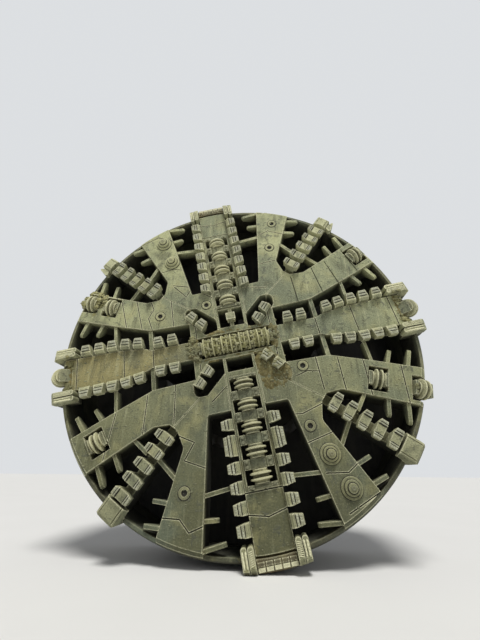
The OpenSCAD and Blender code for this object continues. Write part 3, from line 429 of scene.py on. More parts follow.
R = 4.4  # half the cut diameter, in which the seams are given: right, up
FACE = 0.198  # the front of the boxes, back from the tool tips
WEAR = 0.020  # thickness of a wear plate
SEAM = 0.022  # width of a seam
EDGE = 0.007  # how far a wear plate stops short of the box
JUST_BEHIND = 0.21  # a little further back than the front of the boxes
PORTS = [(-0.550, 1.153, 0.121), (-1.742, 1.091, 0.121), (1.646, 3.370, 0.121), (1.395, 2.552, 0.121),
         (-1.536, -2.904, 0.121), (1.382, -0.880, 0.121), (1.188, -2.156, 0.118)]
PORT_WALL = 0.060
SEAMS = {
    "steep_plate_upper_right": [
        [(0.24, 0.68), (0.335, 0.715), (0.44, 0.655)], [(0.20, 0.47), (0.36, 0.48)],
        [(0.10, 0.335), (0.235, 0.30)], [(0.25, 0.89), (0.52, 0.84)],
    ],
    "flat_plate_upper_right": [
        [(0.39, 0.34), (0.39, 0.14)], [(0.52, 0.40), (0.545, 0.16)], [(0.61, 0.40), (0.655, 0.19)],
        [(0.73, 0.46), (0.785, 0.25)], [(0.235, 0.29), (0.37, 0.40)],
    ],
    "steep_plate_upper_left": [
        [(-0.50, 0.79), (-0.37, 0.835), (-0.27, 0.79)],
        [(-0.42, 0.54), (-0.30, 0.56), (-0.20, 0.53)],
        [(-0.305, 0.44), (-0.19, 0.40), (-0.235, 0.345), (-0.30, 0.43)],
        [(-0.13, 0.34), (-0.08, 0.30)],
    ],
    "flat_plate_upper_left": [
        [(-0.325, 0.35), (-0.325, 0.15)],
        [(-0.455, 0.40), (-0.43, 0.30), (-0.465, 0.25), (-0.44, 0.14)],
        [(-0.53, 0.40), (-0.50, 0.15)], [(-0.62, 0.42), (-0.585, 0.16)],
    ],
    "steep_plate_lower_left": [
        [(-0.38, -0.40), (-0.28, -0.46), (-0.335, -0.53), (-0.20, -0.60)],
        [(-0.17, -0.29), (-0.07, -0.215)],
        [(-0.52, -0.72), (-0.38, -0.755), (-0.345, -0.81), (-0.24, -0.79)],
    ],
    "flat_plate_lower_left": [
        [(-0.72, -0.46), (-0.64, -0.20)], [(-0.53, -0.40), (-0.48, -0.14)],
        [(-0.37, -0.36), (-0.34, -0.14)],
    ],
    "steep_plate_lower_right": [
        [(0.18, -0.42), (0.25, -0.43), (0.36, -0.40)], [(0.24, -0.56), (0.39, -0.53)],
        [(0.28, -0.695), (0.38, -0.71), (0.47, -0.66)], [(0.33, -0.86), (0.50, -0.80)],
    ],
    "flat_plate_lower_right": [
        [(0.39, -0.14), (0.385, -0.34)], [(0.27, -0.245), (0.33, -0.23), (0.389, -0.245)],
        [(0.50, -0.15), (0.485, -0.40)], [(0.26, -0.29), (0.40, -0.41)],
        [(0.62, -0.20), (0.60, -0.42)], [(0.79, -0.28), (0.755, -0.48)],
    ],
    "upper_spoke": [
        [(-0.09, 0.865), (0, 0.848), (0.09, 0.865)], [(-0.09, 0.755), (0.09, 0.755)],
    ],
    "lower_spoke": [
        [(-0.09, -0.79), (0, -0.81), (0.09, -0.79)], [(-0.09, -0.71), (0.09, -0.71)],
    ],
    "right_spoke": [
        [(0.45, 0.08), (0.45, -0.08)], [(0.655, 0.10), (0.655, -0.10)],
        [(0.868, 0.10), (0.868, -0.10)],
    ],
    "left_spoke": [
        [(-0.45, 0.08), (-0.45, -0.08)], [(-0.61, 0.10), (-0.61, -0.10)],
        [(-0.868, 0.10), (-0.868, -0.10)],
    ],
    "centre_plate": [
        [(-0.205, 0.16), (-0.205, -0.16)], [(0.205, 0.16), (0.205, -0.16)],
    ],
}


def seam_cutter(lines):
    """One thin upright strip for each seam, mitred where it bends, and a round bar for each port."""
    shape = bmesh.new()
    for u, v, r in PORTS:
        hole = r - PORT_WALL
        lathe(shape, LEAN @ spot(u, v, FACE + 0.01), (0, -1, 0), [(hole, 0), (hole, 0.06)], 36)
    for line in lines:
        points = [Vector((u * R, v * R)) for u, v in line]
        sides = ([], [])
        for i, point in enumerate(points):
            ahead = (points[i + 1] - point).normalized() if i < len(points) - 1 else None
            behind = (point - points[i - 1]).normalized() if i > 0 else None
            along = ((ahead or behind) + (behind or ahead)).normalized()
            reach = SEAM / 2 / max(0.4, along.dot(ahead or behind))
            across = Vector((-along.y, along.x)) * reach
            for side, sign in zip(sides, (1, -1)):
                side.append(point + across * sign)
        outline = sides[0] + sides[1][::-1]
        low = [shape.verts.new(LEAN @ spot(p.x, p.y, FACE + 0.01)) for p in outline]
        high = [shape.verts.new(LEAN @ spot(p.x, p.y, FACE - 0.05)) for p in outline]
        count, last = len(outline), len(points)
        for i in range(count):
            shape.faces.new((low[i], low[(i + 1) % count], high[(i + 1) % count], high[i]))
        for ring in (low, high):
            for i in range(last - 1):
                shape.faces.new((ring[i], ring[i + 1], ring[count - 2 - i], ring[count - 1 - i]))
    bmesh.ops.recalc_face_normals(shape, faces=shape.faces)
    mesh = bpy.data.meshes.new("seams")
    shape.to_mesh(mesh)
    shape.free()
    return bpy.data.objects.new("seams", mesh)


def wear_plate(node, lines, material):
    """Raises a plate on the front of a box and cuts its seams and the holes of its ports."""
    shape = bmesh.new()
    shape.from_mesh(nodes[node].data)
    away = [f for f in shape.faces
            if f.normal.y > -0.99 or abs(f.calc_center_median().y - (FACE - REACH)) > 0.002]
    bmesh.ops.delete(shape, geom=away, context="FACES")
    bmesh.ops.remove_doubles(shape, verts=shape.verts, dist=0.0006)
    bmesh.ops.dissolve_limit(shape, angle_limit=0.01, verts=shape.verts, edges=shape.edges)
    rim = bmesh.ops.inset_region(shape, faces=shape.faces, thickness=EDGE, use_boundary=True,
                                 use_even_offset=True)
    bmesh.ops.delete(shape, geom=rim["faces"], context="FACES")
    grown = bmesh.ops.extrude_face_region(shape, geom=shape.faces[:], use_keep_orig=True)
    raised = [v for v in grown["geom"] if isinstance(v, bmesh.types.BMVert)]
    sunk = [v for v in shape.verts if v not in set(raised)]
    bmesh.ops.translate(shape, verts=raised, vec=(0, -WEAR, 0))
    bmesh.ops.translate(shape, verts=sunk, vec=(0, 0.04, 0))
    piece = fit(f"wear_{node}", shape, material, turn=Matrix())
    cutter = seam_cutter(lines)
    bpy.context.scene.collection.objects.link(cutter)
    cut = piece.modifiers.new("seams", "BOOLEAN")
    cut.operation, cut.object, cut.solver, cut.use_self = "DIFFERENCE", cutter, "EXACT", True
    bpy.context.view_layer.update()
    done = bpy.data.meshes.new_from_object(piece.evaluated_get(bpy.context.evaluated_depsgraph_get()))
    clean = bmesh.new()
    clean.from_mesh(done)
    bmesh.ops.remove_doubles(clean, verts=clean.verts, dist=0.0005)
    bmesh.ops.dissolve_degenerate(clean, dist=0.0005, edges=clean.edges)
    clean.to_mesh(done)
    clean.free()
    piece.modifiers.clear()
    piece.data = done
    bpy.data.objects.remove(cutter)
    ease = piece.modifiers.new("ease", "BEVEL")
    ease.width, ease.segments, ease.limit_method = 0.004, 2, "ANGLE"
    return piece


# A near-black finish: dirt, and painted shade where it fills seams, step corners and port sockets.
def open_hole():
    finish = Finish("open_socket")
    grain = finish.noise(60, 4)
    return finish.close(finish.blend(grain, (0.006, 0.006, 0.004), (0.022, 0.021, 0.014)), 0.9,
                        [(grain, 0.004)])


yellow_mud = dried_mud("yellow_mud", (0.300, 0.268, 0.116), (0.205, 0.182, 0.078),
                       (0.130, 0.104, 0.038), grime=0.8)
dirt_and_painted_shade = open_hole()
# Near-black beads along the seams: dirt, and painted shade in the gaps between the wear plates.
shape = bmesh.new()
for node, lines in SEAMS.items():
    wear_plate(node, lines, yellow_mud if node == "left_spoke" else plate_mud)
    mesh = nodes[node].data
    plate = BVHTree.FromPolygons([v.co for v in mesh.vertices],
                                 [tuple(f.vertices) for f in mesh.polygons])
    for line in lines:
        runs = [[]]
        for start, end in zip(line, line[1:]):
            parts = round(math.dist(start, end) * R / 0.03)
            for i in range(parts + 1):
                u, v = (start[k] + (end[k] - start[k]) * i / parts for k in (0, 1))
                if plate.ray_cast(LEAN @ spot(u * R, v * R, 0), Vector((0, 1, 0)), JUST_BEHIND)[0]:
                    runs[-1].append(spot(u * R, v * R, FACE - 0.002))
                elif runs[-1]:
                    runs.append([])
        for run in runs:
            if len(run) > 2:
                bead(shape, run, SEAM * 0.55, 0.05, 0.3, 30, 6, 0.5)
fit("seam_dirt_and_shade", shape, dirt_and_painted_shade)

# Beads of weld metal join the boxes on the face, beside the disc spokes and where steep and flat
# plates meet on their way to the forks. They are laid by hand and uneven.

SPOKE_HALF = 0.374  # half width of the spokes that carry discs
joints = [[(side * SPOKE_HALF, top * v) for v in (0.80, 1.54)] for top in (1, -1) for side in (1, -1)]
for side in (1, -1):
    for top in (1, -1):
        joints.append([(side * 0.985, top * 1.124), (side * 1.63, top * 1.63)])
bolt_mud = dried_mud("bolt_mud", (0.240, 0.240, 0.130), (0.085, 0.085, 0.042), (0.060, 0.052, 0.022),
                     rub=0.1)
shape = bmesh.new()
for line in joints:
    bead(shape, [spot(u, v, FACE - 0.004) for u, v in line], 0.011, 0.022, 0.35, 60)
fit("face_welds", shape, bolt_mud)

# Saddles hold the shafts of the disc cutters in a trough. Each has a clamp at both sides, drawn
# down by bolts, and fine mud has set around everything.

saddle_mud = dried_mud("saddle_mud", (0.33, 0.335, 0.20), (0.11, 0.11, 0.06), (0.08, 0.070, 0.030),
                       relief=1.3)
dress(["spoke_saddles", "branch_saddles", "centre_saddles"], saddle_mud, 0.008)

SADDLE_TOP = 0.116
SADDLE_BOLTS = 0.232  # from the middle of the spoke
END_BOLTS, MID_BOLTS = 0.169, 0.050  # from the outer disc, and from the middle between two discs
DISC_PITCH = 0.464
spoke_discs = {1: 1.157, -1: 1.020}  # the innermost disc of the upper and the lower spoke
shape = bmesh.new()
for way, first in spoke_discs.items():
    ends = [first - END_BOLTS, first + 4 * DISC_PITCH + END_BOLTS]
    middles = [first + (i + 0.5) * DISC_PITCH for i in range(4)]
    between = [v + off for v in middles for off in (-MID_BOLTS, MID_BOLTS)]
    for v in ends + between:
        for u in (-SADDLE_BOLTS, SADDLE_BOLTS):
            bolt(shape, spot(u, way * v, SADDLE_TOP), (0, -1, 0), 0.058)
fit("saddle_bolts", shape, bolt_mud)

# Stepped domes and ringed ports sit on the plates. A hollow hexagon nut closes each dome and a
# plug with a socket each port, painted near-black as the shade of its hole. Near-black rings lie
# round every step: dirt, and painted shade at the foot of each step.

dome_mud = dried_mud("dome_mud", (0.400, 0.405, 0.222), (0.180, 0.178, 0.088), (0.050, 0.045, 0.020),
                     0.03, 0.07, grime=0.5)
dress(["wear_domes", "port_rings"], dome_mud, 0.006)

DOMES = [(-1.474, 3.388), (-1.298, 2.684), (1.426, -2.746), (1.637, -3.388)]
DOME_STEPS = [(0.207, 0.178), (0.152, 0.140), (0.098, 0.075)]  # radius, depth of its foot
DOME_TOP = 0.030
NUT = [(0.046, -0.006), (0.046, 0.005), (0.040, 0.008), (0.018, 0.008), (0.015, 0.000)]
shape = bmesh.new()
for u, v in DOMES:
    lathe(shape, spot(u, v, DOME_TOP), (0, -1, 0), NUT, 6, u * 5)
fit("dome_nuts", shape, bolt_mud)

# Painted shade: near-black rings of dirt at the foot of every dome step and round the ports.
shape = bmesh.new()
steps = [(u, v, r, back) for u, v in DOMES for r, back in DOME_STEPS]
steps += [(u, v, r + 0.003, FACE - WEAR) for u, v, r in PORTS]
turns = [math.radians(12 * i) for i in range(31)]
for u, v, r, back in steps:
    ring = [(r * math.cos(a), r * math.sin(a)) for a in turns]
    bead(shape, [spot(u + du, v + dv, back) for du, dv in ring], 0.009, 0.05, 0.6, 40)
fit("step_dirt_and_shade", shape, dirt_and_painted_shade)

# Painted shade: each port's plug is a shallow near-black dish, painted as the shade of an open socket.
shape = bmesh.new()
for u, v, r in PORTS:
    hole = r - PORT_WALL
    plug = [(hole - 0.001, -0.002), (hole - 0.001, 0.004), (hole - 0.012, 0.005),
            (hole - 0.024, 0.001), (0.010, 0.001)]
    lathe(shape, spot(u, v, FACE), (0, -1, 0), plug, 6, v)
fit("port_sockets", shape, dirt_and_painted_shade)

# Scrapers are forged tool blocks bolted on holders. Rows of carbide bits are brazed along their
# lips. The ground keeps them scoured, so they are the palest pieces of the face.

tool_mud = dried_mud("tool_mud", (0.500, 0.505, 0.300), (0.240, 0.242, 0.136), (0.040, 0.036, 0.015),
                     0.04, 0.10, 1.4, 0.6, 0.8)
tools = ["upper_scrapers", "lower_scrapers", "left_scrapers", "right_scrapers", "row_scrapers",
         "inner_scrapers", "gauge_scrapers", "gauge_blocks"]
dress(tools, tool_mud, 0.011)


def carbide():
    finish = Finish("worn_carbide")
    blotch = finish.noise(9, 5, 0.65)
    speck = finish.noise(90, 5, 0.7)
    colour = finish.blend(finish.mask(blotch, 0.4, 0.65), (0.400, 0.410, 0.300), (0.240, 0.240, 0.150))
    colour = finish.blend(finish.mask(speck, 0.52, 0.68) * 0.6, colour, (0.10, 0.10, 0.065))
    rubbed = finish.mask(finish.corner(0.012, inside=True), 0.25, 0.6)
    colour = finish.blend(rubbed * 0.8, colour, (0.60, 0.60, 0.48))
    return finish.close(colour, 0.55 + speck * 0.35, [(blotch, 0.006), (speck, 0.004)], metal=0.15)


def bit(shape, place, along, across, length, width, tall):
    """A carbide bit that stands on place towards the face, its upper edges worn round."""
    out = along.cross(across).normalized()
    if out.y > 0:
        out = -out
    rings = []
    for high, ease in ((-0.012, 0), (tall * 0.55, 0), (tall, 0.007)):
        l, w = length / 2 - ease, width / 2 - ease
        rings.append([shape.verts.new(place + along * (l * a) + across * (w * b) + out * high)
                      for a, b in ((-1, -1), (1, -1), (1, 1), (-1, 1))])
    skin(shape, rings)


def bit_row(shape, seat, across, along, distance, depth, length, width, count):
    """Bits side by side along a rib: distance is from the seat of the tool to the rib's middle."""
    for i in range(count):
        shift = (i - (count - 1) / 2) * length / count
        wear = 0.004 * noise.noise((seat + along * shift) * 9)
        place = seat + across * distance + along * shift + Vector((0, depth - FACE, 0))
        bit(shape, place, along, across, length / count - 0.005, width, 0.009 + wear)


SCRAPER_W = 0.250
SCRAPER_LEN = 0.228
SCRAPER_PITCH = 0.343
LIP_LEN = 0.160
TOOL_FRONT = 0.022
# Ribs with bits, from the front one back: share of the tool's width, set-back, length, width.
SCRAPER_RIBS = ((0.815, 0.0, 1.06, 0.052), (0.52, 0.008, 1.24, 0.036))  # length in lips
ROW_RIBS = ((0.845, 0.0, 0.146, 0.038), (0.59, 0.008, 0.168, 0.022))
# Half width of the plain spokes, by radius.
PLAIN_HALF = [(1.047, 0.230), (2.024, 0.230), (2.140, 0.286), (2.768, 0.368), (4.84, 0.415)]
INNER_FROM, INNER_TO = (0.674, 0.340), (1.047, 0.760)  # the edge that the inner scrapers stand on
ROW_TOOL_W = 0.210
ROW_FIRST, ROW_PITCH, ROW_TOOLS = 2.572, 0.321, 5


def plain_half(r):
    return float(np.interp(r, [p[0] for p in PLAIN_HALF], [p[1] for p in PLAIN_HALF]))


OUTER_ROW = [2.310, 2.618, 2.925, 3.236, 3.560]
rows = {
    0: [(1.584 + SCRAPER_PITCH * i, SCRAPER_LEN) for i in range(7)],
    180: [(1.840, SCRAPER_LEN), (2.248, SCRAPER_LEN * 1.75)]
    + [(2.664 + SCRAPER_PITCH * i, SCRAPER_LEN) for i in range(4)],
    90: [(r, SCRAPER_LEN) for r in [1.329, 1.654] + OUTER_ROW],
    270: [(r, SCRAPER_LEN) for r in [1.470, 1.804] + OUTER_ROW],
}
seats = []
for angle, row in rows.items():
    turn = Matrix.Rotation(math.radians(angle), 3, "Y")
    for r, length in row:
        for side in (1, -1):
            half, flare = SPOKE_HALF, 0.0
            if angle in (90, 270):
                half = plain_half(r)
                flare = math.atan2(plain_half(r + 0.02) - plain_half(r - 0.02), 0.04)
            across = Vector((side * math.cos(flare), 0, -math.sin(flare)))
            along = Vector((side * math.sin(flare), 0, math.cos(flare)))
            seats.append((turn @ spot(side * half, r, FACE), turn @ across, turn @ along, length))
slope = math.atan2(INNER_TO[1] - INNER_FROM[1], INNER_TO[0] - INNER_FROM[0])
near, far_out = (0.092, 0.412), (0.229, 0.545)
for su, sv, places in ((1, 1, near), (-1, 1, far_out), (-1, -1, far_out), (1, -1, near)):
    along = Vector((su * math.cos(slope), 0, sv * math.sin(slope)))
    across = Vector((-su * math.sin(slope), 0, sv * math.cos(slope)))
    for far in places:
        start = spot(su * INNER_FROM[0], sv * INNER_FROM[1], FACE)
        seats.append((start + along * far, across, along, SCRAPER_LEN))
row_seats = []
for row in range(4):
    turn = Matrix.Rotation(math.radians(45 + 90 * row), 3, "Y")
    for i in range(ROW_TOOLS):
        for side in (1, -1):
            row_seats.append((turn, side, ROW_FIRST + ROW_PITCH * i))

shape = bmesh.new()
for seat, across, along, length in seats:
    lip = length - SCRAPER_LEN + LIP_LEN
    many = 4 if length < 0.3 else 7
    for far, back, long, wide in SCRAPER_RIBS:
        bit_row(shape, seat, across, along, far * SCRAPER_W, TOOL_FRONT + back, lip * long, wide, many)
for turn, side, place in row_seats:
    seat = turn @ spot(0, place, FACE)
    across, along = turn @ Vector((side, 0, 0)), turn @ Vector((0, 0, 1))
    for far, back, long, wide in ROW_RIBS:
        bit_row(shape, seat, across, along, far * ROW_TOOL_W, TOOL_FRONT + back, long, wide, 4)
fit("carbide_bits", shape, carbide(), "cutterhead")

shape = bmesh.new()
for seat, across, along, length in seats:
    reach = (length - SCRAPER_LEN + LIP_LEN) / 2
    for share, wide, back in ((0.39, 1.30, 0.040), (0.66, 1.12, 0.032)):
        middle = seat + across * share * SCRAPER_W + Vector((0, back - FACE, 0))
        ends = [middle + along * reach * wide * way for way in (-1, 1)]
        bead(shape, ends, 0.014, 0.035, 0.4, 30, 6, 0.8)
for turn, side, far in row_seats:
    for share, reach, back in ((0.48, 0.088, 0.040), (0.69, 0.080, 0.034)):
        ends = [turn @ spot(side * share * ROW_TOOL_W, far + way * reach, back) for way in (-1, 1)]
        bead(shape, ends, 0.012, 0.035, 0.4, 30, 6, 0.8)
fit("groove_dirt", shape, dirt_and_painted_shade)

# Gauge scrapers guard the spoke ends. Hardfacing is welded across the bar next to the spoke in
# fine slanting ribs, and along the outer bar in two long ridges.

BAR_LONG, PLAIN_BAR_LONG = 0.47, 0.60  # of the bars at the disc spokes and at the plain spokes
RIB_LOW, RIB_HIGH, RIB_PITCH = 0.06, 0.085, 0.030  # a slanting rib, from the bar's inner end
RIBS_TO, RIDGES_TO = 4.24, 4.25
shape = bmesh.new()
for angle in (0, 90, 180, 270):
    turn = Matrix.Rotation(math.radians(angle), 3, "Y")
    start = R - (BAR_LONG if angle in (0, 180) else PLAIN_BAR_LONG)
    half = SPOKE_HALF if angle in (0, 180) else plain_half(R)
    for side in (1, -1):
        for i in range(round((RIBS_TO - start - RIB_LOW) / RIB_PITCH)):
            ends = [turn @ spot(side * (half + offset), start + far + RIB_PITCH * i, TOOL_FRONT - 0.001)
                    for offset, far in ((0.014, RIB_LOW), (0.098, RIB_HIGH))]
            bead(shape, ends, 0.0085, 0.03, 0.4, 40, 5)
        for offset in (0.150, 0.208):
            ends = [turn @ spot(side * (half + offset), far, TOOL_FRONT + 0.033)
                    for far in (start + RIB_LOW, RIDGES_TO)]
            bead(shape, ends, 0.019, 0.025, 0.35, 30, 6, 0.8)
fit("gauge_hardfacing", shape, tool_mud, "cutterhead")

# Wear shoes are welded over the rim at the ends of the disc spokes. Pads of hardfacing stand on
# them, and they have rusted brown.

shoe_rust = dried_mud("shoe_rust", (0.21, 0.15, 0.065), (0.10, 0.085, 0.045), (0.10, 0.07, 0.025),
                      relief=1.6, dust_and_top_light_share=0.3)
dress(["gauge_shoes"], shoe_rust, 0.012)

PAD_ROWS = ((4.235, 0.020), (4.315, 0.008))  # radius, height of the pads
PAD_PITCH = 0.145
shape = bmesh.new()
for angle in (0, 180):
    turn = Matrix.Rotation(math.radians(angle), 3, "Y")
    for i in range(5):
        for far, tall in PAD_ROWS:
            place = turn @ spot((i - 2) * PAD_PITCH, far, FACE - 0.050)
            bit(shape, place, turn @ Vector((1, 0, 0)), turn @ Vector((0, 0, 1)), 0.122, 0.070, tall)
fit("shoe_pads", shape, shoe_rust, "cutterhead")

# Disc cutters are hardened rings shrunk on a hub. The rings are rubbed nearly clean, and the
# ground has packed between them.

discs = [name for name in nodes if name.startswith("disc_")]
ring_steel = dried_mud("ring_steel", (0.540, 0.530, 0.320), (0.380, 0.365, 0.200),
                       (0.040, 0.034, 0.014), 0.035, 0.07, 1.0, 0.6, 0.5)
dress(discs, ring_steel)
packed_clay = dried_mud("packed_clay", (0.26, 0.23, 0.11), (0.13, 0.115, 0.05), (0.05, 0.042, 0.018),
                        0.03, 0.08, 2.0, rub=0.3)


def sleeve(shape, centre, axis, length, radius, rough, step, sides, grain=14.0, most=1.0):
    """Packs clay round a shaft or hub: an uneven sleeve with closed ends."""
    stand = Vector(axis).to_track_quat("Z", "Y")
    rings = []
    count = max(2, round(length / step))
    for i in range(count + 1):
        far = (i / count - 0.5) * length
        ring = []
        for k in range(sides):
            a = 2 * math.pi * k / sides
            place = centre + stand @ Vector((math.cos(a) * radius, math.sin(a) * radius, far))
            wide = min(most, radius + rough * noise.fractal(place * grain, 0.9, 2.1, 3))
            if i in (0, count):
                wide = radius * 0.9
            out = Vector((math.cos(a) * wide, math.sin(a) * wide, far))
            ring.append(shape.verts.new(centre + stand @ out))
        rings.append(ring)
    skin(shape, rings)


for joint in frame["record"]["behaviour"]["joints"]:
    body = joint["child"]
    if body.startswith("disc_"):
        centre, axis = Vector(joint["pos_m"]), Vector(joint["axis"])
        shape = bmesh.new()
        sleeve(shape, centre, axis, 0.060, 0.160, 0.020, 0.015, 40)
        for side in (-1, 1):
            sleeve(shape, centre + axis * (side * 0.104), axis, 0.036, 0.154, 0.014, 0.012, 36)
        fit(f"clay_{body}", shape, packed_clay, body, turn=Matrix(), smooth=True)

# The centre roller is a row of steel rings on a hub. Yellow clay is packed between them nearly up
# to their edges and sticks to the rings as well.

roller_steel = dried_mud("roller_steel", (0.66, 0.640, 0.33), (0.50, 0.480, 0.22), (0.08, 0.065, 0.024),
                         0.03, 0.07, 2.4, 0.6, 0.4, 0.5)
dress(["centre_roller"], roller_steel)
roller_clay = dried_mud("roller_clay", (0.43, 0.415, 0.165), (0.30, 0.288, 0.108),
                        (0.040, 0.032, 0.012), 0.03, 0.06, 2.0, 0.4, 0.5, 0.4)
roller = next(j for j in frame["record"]["behaviour"]["joints"] if j["child"] == "centre_roller")
RING_REACH = 0.233  # just under the rings of the roller
ROLLER_LUMPS = 300
shape = bmesh.new()
sleeve(shape, Vector(roller["pos_m"]), roller["axis"], 1.56, 0.184, 0.050, 0.016, 64, 11.0, RING_REACH)
fit("roller_clay_fill", shape, roller_clay, "centre_roller", turn=Matrix(),
    smooth=True)

# Ground has caked on the head where it is sheltered: round the roller, in the lower right of the
# centre, over the outer discs at the upper left and along the ends of the plain spokes.


def lump(shape, centre, size, rough, detail):
    """A rough ball of ground with its size in x, y and z."""
    made = bmesh.ops.create_icosphere(shape, subdivisions=detail, radius=1)
    for vert in made["verts"]:
        way = vert.co.normalized()
        push = 1 + rough * noise.fractal(way * 2.2 + centre * 5, 0.8, 2.1, 4)
        vert.co = centre + Vector((way.x * size[0], way.y * size[1], way.z * size[2])) * push


CELL = 0.022  # of the grid that a bed is made on


def patch(shape, outline, depth, rise):
    """Clay that fills an outline in the face: a rough bed, highest in its middle."""
    points = [Vector((u * R, v * R)) for u, v in outline]
    edges = list(zip(points, points[1:] + points[:1]))

    def inside(p):
        hits = 0
        for a, b in edges:
            if (a.y > p.y) != (b.y > p.y) and p.x < (b.x - a.x) * (p.y - a.y) / (b.y - a.y) + a.x:
                hits += 1
        return hits % 2 == 1

    def rim(p):
        best = 9.0
        for a, b in edges:
            t = max(0.0, min(1.0, (p - a).dot(b - a) / (b - a).length_squared))
            best = min(best, (p - a - (b - a) * t).length)
        return best

    low_u, low_v = min(p.x for p in points), min(p.y for p in points)
    wide = int((max(p.x for p in points) - low_u) / CELL) + 2
    tall = int((max(p.y for p in points) - low_v) / CELL) + 2
    made = {}
    for i in range(wide):
        for k in range(tall):
            p = Vector((low_u + i * CELL, low_v + k * CELL))
            jog = Vector((noise.noise(Vector((p.x * 3, p.y * 3, 0))),
                          noise.noise(Vector((p.x * 3, p.y * 3, 5))))) * 0.05
            if inside(p + jog):
                far = rim(p + jog)
                swell = min(1.0, far / 0.10) ** 0.6
                bumpy = noise.fractal(Vector((p.x, p.y, depth)) * 9.0, 0.75, 2.1, 5)
                high = depth + 0.012 - (rise + bumpy * rise * 0.8) * swell
                made[i, k] = shape.verts.new(spot(p.x, p.y, high))
    for (i, k), vert in list(made.items()):
        ring = [made.get(c) for c in ((i, k), (i + 1, k), (i + 1, k + 1), (i, k + 1))]
        if all(ring):
            shape.faces.new(ring)
    for vert in [v for v in shape.verts if not v.link_faces]:
        shape.verts.remove(vert)


dice = np.random.default_rng(11)
shape = bmesh.new()
stand = Vector(roller["axis"]).to_track_quat("Z", "Y")
middle = Vector(roller["pos_m"])
for _ in range(ROLLER_LUMPS):
    a, far, out = dice.uniform(0, 2 * math.pi), dice.uniform(-0.76, 0.76), dice.uniform(0.178, 0.220)
    size = dice.uniform(0.012, 0.034)
    centre = middle + stand @ Vector((math.cos(a) * out, math.sin(a) * out, far))
    lump(shape, centre, (size * dice.uniform(0.8, 1.6), size, size), 0.7, 2)
for vert in shape.verts:
    local = stand.inverted() @ (vert.co - middle)
    out = math.hypot(local.x, local.y)
    if out > RING_REACH:
        held = Vector((local.x * RING_REACH / out, local.y * RING_REACH / out, local.z))
        vert.co = middle + stand @ held
fit("roller_lumps", shape, roller_clay, "centre_roller", turn=Matrix(), smooth=True)

caked = dried_mud("caked_clay", (0.240, 0.196, 0.058), (0.120, 0.096, 0.026), (0.050, 0.038, 0.011),
                  0.03, 0.10, 2.2, 0.1, 0.4, 0.1)
beds = [  # depth of the foot, rise and outline, the last in R
    (FACE, 0.045, [(0.070, -0.175), (0.080, -0.110), (0.120, -0.060), (0.180, -0.055),
                   (0.232, -0.150), (0.262, -0.205), (0.250, -0.262), (0.205, -0.292),
                   (0.130, -0.300), (0.087, -0.285), (0.085, -0.225)]),
    (FACE, 0.070, [(-0.265, 0.055), (-0.27, -0.05), (-0.215, -0.078), (-0.19, -0.02),
                   (-0.195, 0.06), (-0.225, 0.085)]),
    (FACE, 0.060, [(0.19, 0.065), (0.185, -0.05), (0.215, -0.085), (0.245, -0.03), (0.24, 0.05),
                   (0.215, 0.09)]),
    (FACE, 0.040, [(-0.19, 0.075), (-0.19, 0.055), (0.19, 0.055), (0.20, 0.085), (0.05, 0.088),
                   (-0.08, 0.10)]),
    (FACE, 0.040, [(-0.19, -0.055), (-0.20, -0.085), (-0.05, -0.082), (0.10, -0.09),
                   (0.20, -0.08), (0.19, -0.055)]),
    (0.186, 0.035, [(-0.885, -0.090), (-0.890, 0.090), (-0.930, 0.092), (-0.925, 0.0),
                    (-0.932, -0.090)]),
    (0.186, 0.035, [(0.885, -0.090), (0.880, 0.0), (0.890, 0.090), (0.930, 0.092), (0.922, 0.0),
                    (0.932, -0.090)]),
]
clay_beds = []
for number, (depth, rise, outline) in enumerate(beds):
    shape = bmesh.new()
    patch(shape, outline, depth, rise)
    clay_beds.append(fit(f"clay_bed_{number + 1}", shape, caked, smooth=True))

mud_lumps = dried_mud("mud_lumps", (0.340, 0.322, 0.130), (0.150, 0.138, 0.050), (0.070, 0.062, 0.025),
                      0.04, 0.08, 1.8, 0.25, 0.6, 0.0)
heaps = [  # right and up in R, spread, how many lumps and their size
    (-0.850, 0.475, 0.34, 150, 0.068), (-0.760, 0.435, 0.30, 110, 0.058),
    (-0.675, 0.345, 0.16, 16, 0.040), (0.150, -0.150, 0.34, 60, 0.026),
    (0.190, -0.240, 0.30, 50, 0.024), (-0.240, 0.010, 0.20, 40, 0.036),
    (-0.905, 0.060, 0.14, 16, 0.040), (-0.905, -0.060, 0.14, 16, 0.040),
    (0.905, 0.06, 0.16, 16, 0.040), (0.905, -0.06, 0.16, 16, 0.040),
    (0.79, 0.44, 0.16, 12, 0.035), (0.80, -0.43, 0.14, 12, 0.035),
    (-0.76, -0.37, 0.14, 10, 0.035), (0.0, 0.285, 0.20, 16, 0.030),
    (0.0, -0.275, 0.20, 16, 0.030), (0.207, 0.0, 0.12, 24, 0.036),
    (-0.207, 0.0, 0.12, 40, 0.040), (0.0, 0.068, 0.50, 20, 0.026),
    (0.240, 0.075, 0.14, 14, 0.040), (-0.235, 0.060, 0.14, 16, 0.045),
    (-0.22, -0.06, 0.12, 14, 0.040),
]
DEEPEST = 0.34  # ground lies no further back
points, faces = [], []
solid = [nodes[name] for name in (*structure, "rim_upper", "rim_lower", "branch_saddles",
                                  "centre_saddles", *tools)]
for mesh in [piece.data for piece in solid + clay_beds]:
    faces += [[len(points) + i for i in face.vertices] for face in mesh.polygons]
    points += [vert.co.copy() for vert in mesh.vertices]
head_surface = BVHTree.FromPolygons(points, faces)
shape = bmesh.new()
